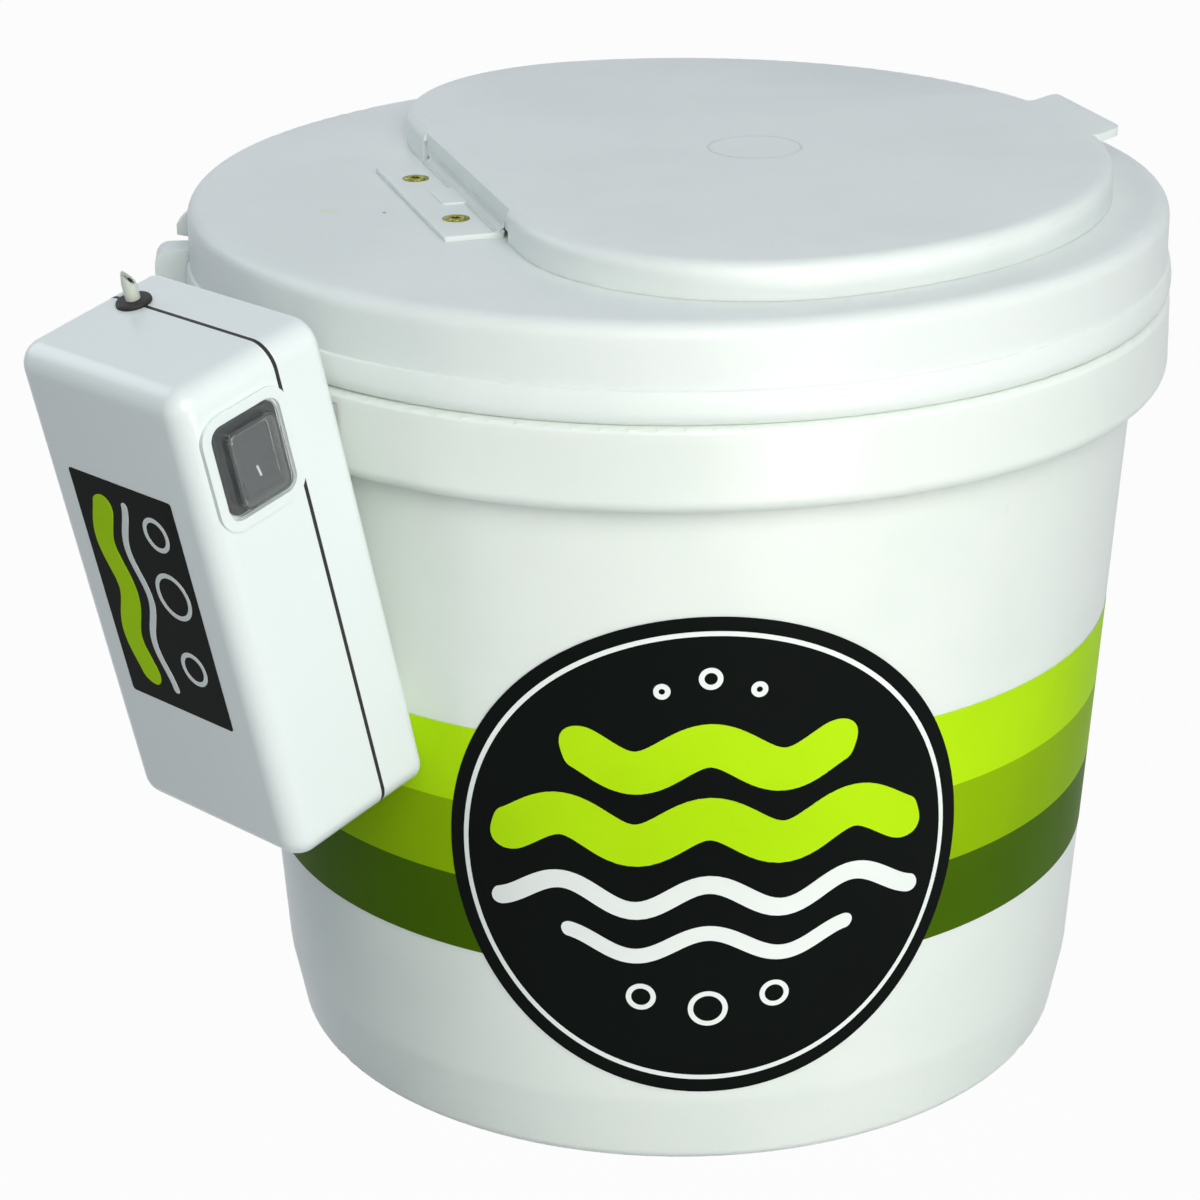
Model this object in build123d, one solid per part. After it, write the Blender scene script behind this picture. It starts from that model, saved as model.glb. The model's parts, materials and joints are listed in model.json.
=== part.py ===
"""Aerated bait bucket: a 13-quart pail with a foam liner, a press-on lid with a flip-up hatch,
a wire bail, and a two-cell air pump that hangs on a hooked bracket at the side of the collar.

Millimetres. +Z is up, and the origin is the centre of the pail's base, on the table.
The front of the pail faces -Y. An azimuth is measured from the front, positive towards +X.
"""
from build123d import *
import math
import os

os.makedirs("parts", exist_ok=True)

# ---------------------------------------------------------------- how pieces are joined and cut
SUNK = 0.4                # how deep a rib or boss starts inside the wall that carries it
PAST = 1.0                # how far a cutter runs past the surface that it opens
FAR = 200.0               # past the whole pump, for cutting it in two

# ---------------------------------------------------------------- pail
PAIL_WALL = 2.0
PAIL_FLOOR = 2.4
BASE_R = 126.2            # outside, at the table
BASE_ROUND = 5.0
GROOVE_R = 104.0          # a shallow ring groove in the underside
GROOVE_WIDTH = 5.0
GROOVE_DEPTH = 0.7
FLOOR_ROUND = 4.0         # inside, where the wall meets the floor
CREASE_R = 130.7          # outside, where the lower wall turns in
CREASE_Z = 23.7
CREASE_ROUND = 25.0
WALL_SLOPE = 0.0661       # growth of the radius for each millimetre of height
COLLAR_PROUD = 10.1       # collar beyond the wall, at the collar's lower edge
COLLAR_WALL = 1.8
COLLAR_BOTTOM_Z = 220.3
COLLAR_HEIGHT = 25.7
COLLAR_ROLL = 5.0         # the collar's lower edge rolls in by this radius
COLLAR_LIP = 1.0          # flat that the roll ends in
COLLAR_LEAN = 0.4         # collar's top inside its lower part
COLLAR_TOP_ROUND = 2.0
COLLAR_RIBS = 24
RIB_THICKNESS = 1.5
RIB_LIFT = 1.5            # ribs' lower ends above the roll
RIM_HEIGHT = 52.7         # pail rim above the collar's lower edge
RIM_BEAD = 4.5
RIM_PROUD = 2.32          # rim bead beyond the wall

# ---------------------------------------------------------------- foam liner
LINER_WALL = 27.0
LINER_FLOOR = 28.0
LINER_DROP = 11.0         # liner top below the pail's rim
LINER_GAP = 0.4
LINER_FOOT_GAP = 0.8      # more room at the pail's rounded base
LINER_EDGE = 6.0
LINER_WELL_ROUND = 14.0

# ---------------------------------------------------------------- lid
LID_WALL = 2.0
LID_SKIRT = 28.8          # height of the lid from its lower edge to its top
LID_ROUND = 5.0
LID_SEAT_GAP = 0.3        # lid underside above the pail's rim
LID_SIDE_GAP = 0.5
BEAD_PROUD = 1.5
BEAD_HEIGHT = 10.2
BEAD_SLOPE = 0.6
BEAD_EDGE = 1.2
LUG_AZ = -84.0            # lifting lug, open below
LUG_PROUD = 10.6          # beyond the lid's side
LUG_WIDTH = 12.0
LUG_HEIGHT = 13.5
LUG_ROUND = 4.5
LUG_WALL = 1.6
WEDGE_AZ = -90.0          # small wedge above the lug's far side
WEDGE_WIDTH = 8.0
WEDGE_Z = 13.1            # its lower face above the lid's lower edge
WEDGE_HEIGHT = 9.6
WEDGE_FOOT = 1.2          # its lower face beyond the lid's side
WEDGE_PROUD = 4.6
WEDGE_NOSE = (0.6, 4.0)   # lower and upper corner of its nose above that face

# ---------------------------------------------------------------- hatch and hinge
HINGE_AZ = -72.0
HATCH_MARGIN = 17.5       # from the lid's side to the hatch's
HATCH_FLAT = 68.6         # from the lid's axis to the hatch's straight side
HATCH_CORNER = 70.0
HATCH_WALL = 1.8
HATCH_HEIGHT = 10.7
HATCH_ROUND = 4.0
HATCH_GAP = 0.3           # hatch edge above the lid
WEB_WIDTH = 100.0         # the part of the straight side that carries the hinge
WEB_RECESS = 1.1
WEB_THICKNESS = 1.8
WEB_BELOW_TOP = 2.0       # web's top inside the hatch's rounded edge
WEB_ROOM = 8.0            # opening behind the web, below its lower edge
SLIT = 1.6
SLIT_DEPTH = 4.0
TAB_WIDTH = 50.0
TAB_PROUD = 4.5           # tab beyond the hatch's side
TAB_THICKNESS = 2.6
TAB_LIFT = 1.8
TAB_ROOT = 8.0            # tab's start inside the hatch's side
TAB_BEND = 3.0            # where it turns up, inside the hatch's side
TAB_ROUND = 3.0
NECK_GAP = 0.7
NECK_WALL = 1.8
NECK_HEIGHT = 6.7
HINGE_BEAD_R = 0.6
HINGE_RISE = 1.7          # hinge line above the lid
HINGE_OUT = 0.7           # hinge line outside the web's face
LEAF_LENGTH = 89.0
LEAF_WIDTH = 17.7
LEAF_THICKNESS = 1.6
LEAF_CORNER = 1.5
LEAF_EDGE = 0.4
LEAF_FOOT = 2.0           # thicker strip beside the hinge line
STOP_PAD = (8.4, 18.0)    # raised pad between the rivets: across the hinge line, along it
STOP_PAD_START = 0.8      # from the hinge line
STOP_PAD_PROUD = 0.5
STOP_PAD_CORNER = 1.2
RIVET_SPACING = 50.6
RIVET_OFF_MIDDLE = 0.4    # outside the leaf's middle line
RIVET_R = 2.1
RIVET_BORE_R = 1.3
RIVET_HEAD_R = 4.1
RIVET_TAIL_R = 3.1
RIVET_HEAD = 0.6
RIVET_ROLL = 0.5

# ---------------------------------------------------------------- bail
BAIL_AZ = -72.0
EAR_BELOW_LID = 13.5
EAR_R = 12.0
EAR_PROUD = 7.7           # ear beyond the collar
EAR_ROUND = 2.0
BAIL_SIDE_GAP = 5.5       # wire's straight sides beyond the ears
BAIL_EXTRA = 2.0          # how much deeper the bail is than half its width
BAIL_CORNER = 117.0
BAIL_BEND = 5.0
WIRE_R = 2.0
WIRE_HEAD_R = 3.6
WIRE_HEAD = 2.0
WIRE_HEAD_ROOM = 1.2      # round the head, between the collar and the wall
WIRE_THROUGH = 3.0        # wire's end inside the collar
PIN_GAP = 0.4
GRIP_R = 9.5
GRIP_LENGTH = 94.0
GRIP_BORE_GAP = 0.05
GRIP_TAPER = 1.0          # grip's ends thinner than its middle
GRIP_TAPER_LENGTH = 12.0
GRIP_EDGE = 1.5
GRIP_CROWN = 20.0
FLUTES = 12
FLUTE_R = 0.9
FLUTE_OUT = 0.25          # flute's middle outside the grip
FLUTE_END = 14.0          # flute's end from the grip's
GRIP_GAP = 0.4            # grip to pail wall while it hangs

# ---------------------------------------------------------------- pump case
PUMP_AZ = -43.5
PUMP_TILT = 13.5
PUMP_DROP = 89.8          # case's lower edge below the collar's lower edge
PUMP_STANDOFF = 5.9       # case's lower edge to the pail's wall
CASE_DEPTH = 50.7
CASE_WALL = 2.2
CASE_ROUND = 7.5
CASE_BACK_ROUND = 3.0
HOLLOW_BACK_ROUND = 1.0
BACK_DEPTH = 16.1         # back shell
GASKET_THICKNESS = 1.2
SCREW_SIDE = 5.5          # screws inside the case's sides
SCREW_ABOVE_PLATE = 4.4
SCREW_BELOW_TOP = 7.2
SCREW_R = 1.5
SCREW_HEAD_R = 2.9
SCREW_HEAD = 1.8
SCREW_LENGTH = 26.0
SCREW_GAP = 0.1           # round the shank in the back shell
SCREW_HEAD_GAP = 0.2
SCREW_DOME = 0.8
SCREW_TIP_ROOM = 0.5
DRIVE_LENGTH = 3.2        # cross recess
DRIVE_WIDTH = 0.8
DRIVE_DEPTH = 0.8
BOSS_R = 3.5
BOSS_END = 3.0            # boss past the screw's tip
FOOT_RIB_X = 16.0
FOOT_RIB_TOP = 24.0
FOOT_RIB_THICKNESS = 3.0
FOOT_RIB_REACH = 14.0
FOOT_RIB_CHAMFER = 6.0
SEAT_GAP = 0.3

# ---------------------------------------------------------------- pump hanger
HANGER_WIDTH = 28.0
HANGER_STEEL = 1.6
HANGER_GAP = 0.05         # leg to collar
HANGER_FROM_CASE = 4.1    # middle of the tongue behind the back shell
HANGER_LEG_DROP = 3.0     # leg's upper end below the collar's top
HANGER_BEND = 2.6
TONGUE_BELOW_TOP = 13.8   # tongue's end below the case's top
TONGUE_ABOVE_COLLAR = 2.3 # U-bend above the collar's lower edge
CLIP_WALL = 1.8
CLIP_BASE = 1.4
CLIP_HEIGHT = 40.0
CLIP_FLANGE = 8.5
CLIP_SIDE_GAP = 0.8
CLIP_MOUTH = 2.0          # clip's lower end above the tongue's engaged length
CLIP_CORNER = 4.0
CLIP_EDGE = 1.5
CLIP_WINDOW = 16.3        # window's width
CLIP_WINDOW_END = 9.0     # window's ends from the clip's
CLIP_WINDOW_ROUND = 3.0
CLIP_SCREW_LENGTH = 6.5
CLIP_BOSS = 7.0           # boss in the back shell for a clip screw
BRACKET_RIVET_X = 8.0
BRACKET_RIVET_RISE = 2.0  # above the collar's middle
BRACKET_RIVET_R = 2.0
BRACKET_RIVET_HEAD_R = 4.0
BRACKET_RIVET_TAIL_R = 3.2
BRACKET_RIVET_HEAD = 1.4
BRACKET_RIVET_DOME = 1.0
BRACKET_TAIL_GAP = 0.1    # tail to the collar's inside

# ---------------------------------------------------------------- switch
SWITCH_Y = -31.2
SWITCH_BELOW_TOP = 27.2   # switch's middle below the case's top
PAD_SIZE = (30.2, 34.8)   # depth direction, height
PAD_ROUND = 7.0
PAD_PROUD = 0.9
PAD_BACKING = 1.2         # thicker wall behind the pad
PAD_LIP_GAP = 0.05        # lip over the gasket
WELL_GAP = 0.9            # round the cover
WELL_ROUND = 4.2
WELL_DEPTH = 1.6
COVER_SIZE = (22.5, 27.0)
COVER_ROUND = 3.4
COVER_FLANGE = 1.2
DOME_SIZE = (17.1, 23.1)
DOME_HEIGHT = 4.6
DOME_ROUND = 2.6
DOME_EDGE = 1.2
COVER_WALL = 0.8
HOUSING_SIZE = (15.0, 21.4)
HOUSING_GAP = 0.15        # in the case's window
HOUSING_DEPTH = 15.0
HOUSING_WALL = 1.3
HOUSING_ROUND = 0.8
HOUSING_WELL = 9.0        # floor of the housing inside the case's side
TAG_SPACING = 6.0         # three soldering tags
TAG_LENGTH = 7.0
TAG_WIDTH = 4.8
TAG_THICKNESS = 0.8
ROCKER_WIDTH = 11.6
ROCKER_LENGTH = 17.4
ROCKER_THROW = 14.0       # degrees between off and on
ROCKER_PIN_R = 1.2
ROCKER_PIN_GAP = 0.05
ROCKER_PIN_SHORT = 0.4    # pin's end inside the housing's side
ROCKER_PIVOT = 1.6        # pivot inside the case's side
ROCKER_CROWN = 2.4        # top of the key above its pivot
ROCKER_DIP = 0.6          # its middle below that
ROCKER_SKIRT = 1.2        # its ends below the pivot
ROCKER_HEEL = (2.4, 4.4)  # foot that works the contacts: half its length, its depth

# ---------------------------------------------------------------- air outlet
OUTLET_X = -21.8
GROMMET_R = 5.2
GROMMET_NECK_R = 3.7
GROMMET_PROUD = 1.3
GROMMET_INNER_LESS = 0.4  # inner flange smaller than the outer
GROMMET_ROUNDS = (0.5, 0.8)
NIPPLE_R = 2.15
NIPPLE_STEM_R = 1.9       # through the grommet
NIPPLE_BORE_R = 1.2
NIPPLE_TIP_R = 1.6
NIPPLE_STRAIGHT = 6.4     # above the case
NIPPLE_TIP = 3.2
NIPPLE_SEAT = 4.0         # nipple's end in the pump head
SPIGOT_R = 4.2
SPIGOT_HEIGHT = 7.0

# ---------------------------------------------------------------- pump works
CELL_R = 17.1
CELL_HEIGHT = 59.5
CELL_NUB_R = 4.75
CELL_NUB = 1.5
CELL_EDGE = 1.2
CELL_NUB_EDGE = 0.5
CELL_GAP = 0.2            # between the cells
CELL_SIDE_GAP = 0.1       # from a cell to the case's wall
CONTACT_STRIP = 0.5
CONTACT_SPACE = 3.4
CONTACT_BEND = 0.8
CONTACT_WIDTH = 9.0
CONTACT_RAMP = 4.0        # length of a sloped stretch
CONTACT_TOUCH = 4.0       # half of the stretch on a cell's pole
CONTACT_TAIL = 5.0        # flat end on the chassis
CHASSIS_PLATE = 2.4
CHASSIS_GAP = 0.5
SADDLE_END = 3.0          # saddle inside the motor's ends
SADDLE_WALL = 2.0
POST_SIZE = (10.0, 4.0)   # two posts under the pump head: along, across
SEAT_THICKNESS = 2.4
SEAT_ROUND = 3.0
SEAT_LEDGE = 3.0          # seat under the diaphragm's edge
MOTOR_R = 12.0
MOTOR_LENGTH = 27.0
MOTOR_X = -2.0            # nose of the motor
MOTOR_ABOVE_PLATE = 16.5
MOTOR_GAP = 0.1           # in its saddle
MOTOR_EDGE = 1.5
NOSE_R = 3.5
NOSE_LENGTH = 2.0
TAIL_R = 4.5
TAIL_LENGTH = 1.5
MOTOR_TAG = (4.0, 2.4, 0.5)  # length, width, thickness
MOTOR_TAG_Y = 8.0
SHAFT_R = 1.0
SHAFT_GAP = 0.05
SHAFT_OUT = 2.0           # past the motor's tail
SHAFT_TIP = 0.5           # past the eccentric
ECCENTRIC_R = 6.0
ECCENTRIC_THROW = 1.6
ECCENTRIC_WIDTH = 5.0
ECCENTRIC_SPACE = 7.0     # from the motor's nose
HUB_R = 3.0
HUB_GAP = 0.6
ECCENTRIC_FIT = 0.01
ARM_RING_GAP = 0.4
ARM_RING_WALL = 2.5
ARM_SIDE = 0.5            # ring narrower than the eccentric, each side
ARM_STEM = 5.0
HEAD_SIZE = (34.0, 32.0, 13.0)
HEAD_ABOVE_MOTOR = 24.1   # head's lower face above the motor's axis
HEAD_ROUND = 3.0
HEAD_EDGE = 1.5
HEADROOM = 25.8           # head's top to the case's top
CHAMBER_R = 7.0
CHAMBER_HEIGHT = 5.0
DIAPHRAGM_R = 13.5
DIAPHRAGM_THICKNESS = 1.6
DIAPHRAGM_GAP = 0.05
DIAPHRAGM_PLATE_R = 4.5
DIAPHRAGM_PLATE = 1.6

# ---------------------------------------------------------------- worked out
def body_r(z):
    """Outer radius of the pail's tapered wall at height z."""
    return CREASE_R + WALL_SLOPE * (z - CREASE_Z)


COLLAR_R = body_r(COLLAR_BOTTOM_Z) + COLLAR_PROUD
COLLAR_IN = COLLAR_R - COLLAR_WALL
COLLAR_TOP_Z = COLLAR_BOTTOM_Z + COLLAR_HEIGHT
RIM_Z = COLLAR_BOTTOM_Z + RIM_HEIGHT
RIM_R = body_r(RIM_Z) + RIM_PROUD
LID_R = RIM_R + LID_SIDE_GAP + LID_WALL
LID_TOP_Z = RIM_Z + LID_SEAT_GAP + LID_WALL
LID_UNDER_Z = LID_TOP_Z - LID_WALL
LID_BOTTOM_Z = LID_TOP_Z - LID_SKIRT
BEAD_R = LID_R + BEAD_PROUD
HATCH_R = LID_R - HATCH_MARGIN
TAB_REACH = HATCH_R + TAB_PROUD
HATCH_BOTTOM_Z = LID_TOP_Z + HATCH_GAP
HATCH_TOP_Z = HATCH_BOTTOM_Z + HATCH_HEIGHT
WEB_FACE = HATCH_FLAT - WEB_RECESS
NECK_FLAT_INSET = WEB_RECESS + WEB_THICKNESS + NECK_GAP
HINGE_X = WEB_FACE + HINGE_OUT
HINGE_Z = LID_TOP_Z + HINGE_RISE
LEAF_TOP_Z = LID_TOP_Z + LEAF_THICKNESS
RIVET_X = HINGE_X + LEAF_WIDTH / 2 + RIVET_OFF_MIDDLE
EAR_Z = LID_BOTTOM_Z - EAR_BELOW_LID
EAR_REACH = COLLAR_R + EAR_PROUD
BAIL_HALF = EAR_REACH + BAIL_SIDE_GAP
BAIL_DEPTH = BAIL_HALF + BAIL_EXTRA
BRACKET_RIVET_Z = COLLAR_BOTTOM_Z + COLLAR_HEIGHT / 2 + BRACKET_RIVET_RISE

CELL_PITCH = 2 * CELL_R + CELL_GAP
CELL_Y = -CASE_DEPTH / 2
CELL_BOTTOM = CASE_WALL + CONTACT_SPACE
CELL_TOP = CELL_BOTTOM + CELL_HEIGHT + CELL_NUB
PLATE_Z = CELL_TOP + CONTACT_SPACE
PLATE_TOP = PLATE_Z + CHASSIS_PLATE
MOTOR_Z = PLATE_TOP + MOTOR_ABOVE_PLATE
MOTOR_END = MOTOR_X + MOTOR_LENGTH
CRANK_X = MOTOR_X - ECCENTRIC_SPACE - ECCENTRIC_WIDTH / 2
HEAD_BOTTOM = MOTOR_Z + HEAD_ABOVE_MOTOR
HEAD_TOP = HEAD_BOTTOM + HEAD_SIZE[2]
SEAT_Z = HEAD_BOTTOM - DIAPHRAGM_THICKNESS
NIPPLE_LOW = HEAD_TOP - NIPPLE_SEAT
CASE_WIDTH = CELL_PITCH + 2 * (CELL_R + CELL_SIDE_GAP + CASE_WALL)
CASE_HEIGHT = HEAD_TOP + HEADROOM
GASKET_FRONT = -BACK_DEPTH - GASKET_THICKNESS
GASKET_Y = -BACK_DEPTH - GASKET_THICKNESS / 2
SCREW_X = CASE_WIDTH / 2 - SCREW_SIDE
SCREW_Z = (PLATE_TOP + SCREW_ABOVE_PLATE, CASE_HEIGHT - SCREW_BELOW_TOP)
SCREW_SPOTS = [(x, z) for x in (-SCREW_X, SCREW_X) for z in SCREW_Z]
SWITCH_Z = CASE_HEIGHT - SWITCH_BELOW_TOP
PAD_Y = SWITCH_Y
WELL_SIZE = (COVER_SIZE[0] + 2 * WELL_GAP, COVER_SIZE[1] + 2 * WELL_GAP)
WELL_FLOOR = CASE_WIDTH / 2 + PAD_PROUD - WELL_DEPTH

PUMP_BASE_Z = COLLAR_BOTTOM_Z - PUMP_DROP
PUMP_BACK_R = body_r(PUMP_BASE_Z) + PUMP_STANDOFF
TONGUE_TOP = CASE_HEIGHT - TONGUE_BELOW_TOP
TONGUE_LOW_Z = COLLAR_BOTTOM_Z + TONGUE_ABOVE_COLLAR
TONGUE_BOTTOM = (
    TONGUE_LOW_Z - PUMP_BASE_Z - HANGER_FROM_CASE * math.sin(math.radians(PUMP_TILT))
) / math.cos(math.radians(PUMP_TILT))
CLIP_HALF = HANGER_WIDTH / 2 + CLIP_SIDE_GAP
CLIP_SCREW_X = CLIP_HALF + CLIP_WALL + CLIP_FLANGE / 2
CLIP_SCREW_Z = TONGUE_TOP - CLIP_HEIGHT / 2
CLIP_SCREW_SPOTS = [(-CLIP_SCREW_X, CLIP_SCREW_Z), (CLIP_SCREW_X, CLIP_SCREW_Z)]


def at_azimuth(azimuth):
    """Turns a shape built along +X to the given azimuth."""
    return Rot(0, 0, azimuth - 90)


def section(points, radii):
    """A closed face in the X-Z plane, with its corners rounded."""
    outline = FilletPolyline(*points, radius=radii, close=True)
    return Plane.XZ * make_face(outline)


def turned(points, radii):
    """A solid of revolution about Z from points (radius, height)."""
    return revolve(section(points, radii), Axis.Z)


def bar(x0, x1, y0, y1, z0, z1):
    """A block between two corners."""
    block = Box(x1 - x0, y1 - y0, z1 - z0)
    return Pos((x0 + x1) / 2, (y0 + y1) / 2, (z0 + z1) / 2) * block


def rod(radius, start, end):
    """A round bar between two points."""
    line = Vector(*end) - Vector(*start)
    plane = Plane(origin=start, z_dir=line)
    return plane * Cylinder(radius, line.length, align=(Align.CENTER, Align.CENTER, Align.MIN))


def save(shape, name):
    """Writes one node."""
    if isinstance(shape, list):
        shape = Compound(shape)
    export_step(shape, f"parts/{name}.step")
    print(name, "solids", len(shape.solids()), "cm3", round(sum(s.volume for s in shape.solids()) / 1000, 2))


# ================================================================ pail
def pail_outer_points(grow=0.0):
    """The body's outside below the collar, from the table up."""
    return [
        (BASE_R + grow, 0),
        (CREASE_R + grow, CREASE_Z),
        (body_r(COLLAR_TOP_Z) + grow, COLLAR_TOP_Z),
    ]


def make_pail():
    web_under = COLLAR_TOP_Z - PAIL_WALL
    shelf_z = COLLAR_BOTTOM_Z + COLLAR_WALL
    roll_in = COLLAR_R - COLLAR_ROLL - COLLAR_LIP
    points = [
        ((0, 0), 0),
        ((BASE_R, 0), BASE_ROUND),
        ((CREASE_R, CREASE_Z), CREASE_ROUND),
        ((body_r(web_under), web_under), 0),
        ((COLLAR_IN, web_under), 0),
        ((COLLAR_IN, COLLAR_BOTTOM_Z + COLLAR_ROLL), 0),
        ((COLLAR_R - COLLAR_ROLL, shelf_z), 0),
        ((roll_in, shelf_z), 0),
        ((roll_in, COLLAR_BOTTOM_Z), 0),
        ((COLLAR_R, COLLAR_BOTTOM_Z), COLLAR_ROLL),
        ((COLLAR_R - COLLAR_LEAN, COLLAR_TOP_Z), COLLAR_TOP_ROUND),
        ((body_r(COLLAR_TOP_Z), COLLAR_TOP_Z), 0),
        ((body_r(RIM_Z - RIM_BEAD), RIM_Z - RIM_BEAD), 0),
        ((RIM_R, RIM_Z - RIM_BEAD), 0),
        ((RIM_R, RIM_Z), LID_ROUND - LID_WALL),
        ((body_r(RIM_Z) - PAIL_WALL, RIM_Z), 0),
        ((CREASE_R - PAIL_WALL, CREASE_Z), 0),
        ((BASE_R - PAIL_WALL, PAIL_FLOOR), FLOOR_ROUND),
        ((0, PAIL_FLOOR), 0),
    ]
    pail = turned([p for p, _ in points], [r for _, r in points])
    groove = [
        (GROOVE_R, -PAST),
        (GROOVE_R + GROOVE_WIDTH, -PAST),
        (GROOVE_R + GROOVE_WIDTH, 0),
        (GROOVE_R + GROOVE_WIDTH / 2, GROOVE_DEPTH),
        (GROOVE_R, 0),
    ]
    pail = pail - turned(groove, [0] * len(groove))

    # Radial ribs between the wall and the hanging collar.
    low = shelf_z + RIB_LIFT
    ring = turned(
        [
            (body_r(low) - SUNK, low),
            (COLLAR_IN + SUNK, low),
            (COLLAR_IN + SUNK, web_under + SUNK),
            (body_r(web_under) - SUNK, web_under + SUNK),
        ],
        [0, 0, 0, 0],
    )
    half_turn = 180 / COLLAR_RIBS
    half = RIB_THICKNESS / 2
    spoke = bar(body_r(low) - PAIL_WALL, COLLAR_R, -half, half, low - PAST, COLLAR_TOP_Z)
    spokes = [Rot(0, 0, half_turn + i * 360 / COLLAR_RIBS) * spoke for i in range(COLLAR_RIBS)]
    ribs = ring & Compound(spokes)
    pail = pail + ribs.solids()

    # Ears for the bail, and the room for the wire's end in each.
    ear_root = COLLAR_IN + SUNK
    room_start = body_r(EAR_Z) + WIRE_HEAD_ROOM
    for side in (0, 180):
        face = Circle(EAR_R) + Pos(0, -EAR_R / 2) * Rectangle(2 * EAR_R, EAR_R)
        ear_plane = Plane(origin=(ear_root, 0, EAR_Z), x_dir=(0, 1, 0), z_dir=(1, 0, 0))
        boss = extrude(ear_plane * face, EAR_REACH - ear_root)
        boss = fillet(boss.faces().sort_by(Axis.X)[-1].edges(), EAR_ROUND)
        pin_room = rod(WIRE_R + PIN_GAP, (room_start, 0, EAR_Z), (EAR_REACH + PAST, 0, EAR_Z))
        head_room = rod(WIRE_HEAD_R + WIRE_HEAD_ROOM, (room_start, 0, EAR_Z), (ear_root, 0, EAR_Z))
        place = at_azimuth(BAIL_AZ + side)
        pail = pail + place * boss - place * pin_room - place * head_room

    # Holes for the rivets of the pump's bracket.
    for y in (-BRACKET_RIVET_X, BRACKET_RIVET_X):
        inside = (COLLAR_R - COLLAR_ROLL, y, BRACKET_RIVET_Z)
        hole = rod(BRACKET_RIVET_R, inside, (COLLAR_R + PAST, y, BRACKET_RIVET_Z))
        pail = pail - at_azimuth(PUMP_AZ) * hole
    return pail


def make_liner():
    outside = LINER_GAP + PAIL_WALL
    bottom = PAIL_FLOOR + LINER_GAP
    top = RIM_Z - LINER_DROP
    inside = outside + LINER_WALL
    points = [
        ((0, bottom), 0),
        ((BASE_R - outside - LINER_FOOT_GAP, bottom), LINER_EDGE),
        ((CREASE_R - outside, CREASE_Z), 0),
        ((body_r(top) - outside, top), 0),
        ((body_r(top) - inside, top), LINER_EDGE),
        ((CREASE_R - inside, bottom + LINER_FLOOR), LINER_WELL_ROUND),
        ((0, bottom + LINER_FLOOR), 0),
    ]
    return turned([p for p, _ in points], [r for _, r in points])


# ================================================================ hatch outline
def d_face(inset, flat_inset=None):
    """The hatch's outline drawn in by an inset: a circle with a straight side at +X and big corners."""
    radius = HATCH_R - inset
    flat = HATCH_FLAT - (inset if flat_inset is None else flat_inset)
    corner = HATCH_CORNER - inset
    cx = flat - corner
    cy = math.sqrt((radius - corner) ** 2 - cx ** 2)
    reach = radius / (radius - corner)
    end = (cx * reach, cy * reach)
    half = math.atan2(cy, cx) / 2
    middle = (cx + corner * math.cos(half), cy + corner * math.sin(half))
    edges = [
        ThreePointArc(end, (-radius, 0), (end[0], -end[1])),
        ThreePointArc((end[0], -end[1]), (middle[0], -middle[1]), (flat, -cy)),
        Line((flat, -cy), (flat, cy)),
        ThreePointArc((flat, cy), middle, end),
    ]
    return make_face(edges)


def d_block(inset, z0, z1, flat_inset=None):
    return extrude(Pos(0, 0, z0) * d_face(inset, flat_inset), z1 - z0)


# ================================================================ lid
def make_lid():
    inner = LID_R - LID_WALL
    bead_top = LID_BOTTOM_Z + BEAD_HEIGHT
    points = [
        ((0, LID_TOP_Z), 0),
        ((LID_R, LID_TOP_Z), LID_ROUND),
        ((LID_R, bead_top), 0),
        ((BEAD_R, bead_top - BEAD_SLOPE), BEAD_SLOPE),
        ((BEAD_R, LID_BOTTOM_Z), BEAD_EDGE),
        ((inner, LID_BOTTOM_Z), 0),
        ((inner, LID_UNDER_Z), LID_ROUND - LID_WALL),
        ((0, LID_UNDER_Z), 0),
    ]
    lid = turned([p for p, _ in points], [r for _, r in points])

    # The opening, with a raised neck that the hatch closes over.
    place = at_azimuth(HINGE_AZ)
    neck_inset = HATCH_WALL + NECK_GAP
    neck_top = LID_TOP_Z + NECK_HEIGHT
    neck = d_block(neck_inset, LID_UNDER_Z, neck_top, NECK_FLAT_INSET)
    hole = d_block(neck_inset + NECK_WALL, LID_UNDER_Z - PAST, neck_top + PAST, NECK_FLAT_INSET + NECK_WALL)
    lid = lid + place * neck - place * hole

    for y in (-RIVET_SPACING / 2, RIVET_SPACING / 2):
        lid = lid - place * rod(RIVET_R, (RIVET_X, y, LID_UNDER_Z - PAST), (RIVET_X, y, LID_TOP_Z + PAST))
    return lid + at_azimuth(LUG_AZ) * make_lug() + at_azimuth(WEDGE_AZ) * make_wedge()


def make_lug():
    """The lifting lug on the lid's bead, open below."""
    root = LID_R - LID_WALL / 2
    out = LID_R + LUG_PROUD
    top = LID_BOTTOM_Z + LUG_HEIGHT
    side = FilletPolyline(
        (root, LID_BOTTOM_Z), (out, LID_BOTTOM_Z), (out, top), (root, top),
        radius=[0, 0, LUG_ROUND, 0], close=True,
    )
    lug = extrude(Plane.XZ * make_face(side), LUG_WIDTH / 2, both=True)
    room = LUG_WIDTH / 2 - LUG_WALL
    return lug - bar(BEAD_R + LUG_WALL, out - LUG_WALL, -room, room, LID_BOTTOM_Z - PAST, top - LUG_WALL)


def make_wedge():
    """The small wedge that stands above the lug's far side."""
    root = LID_R - LID_WALL / 2
    low = LID_BOTTOM_Z + WEDGE_Z
    side = Polyline(
        (root, low + WEDGE_HEIGHT), (LID_R + WEDGE_PROUD, low + WEDGE_NOSE[1]),
        (LID_R + WEDGE_PROUD, low + WEDGE_NOSE[0]), (LID_R + WEDGE_FOOT, low), (root, low), close=True,
    )
    return extrude(Plane.XZ * make_face(side), WEDGE_WIDTH / 2, both=True)


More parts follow.
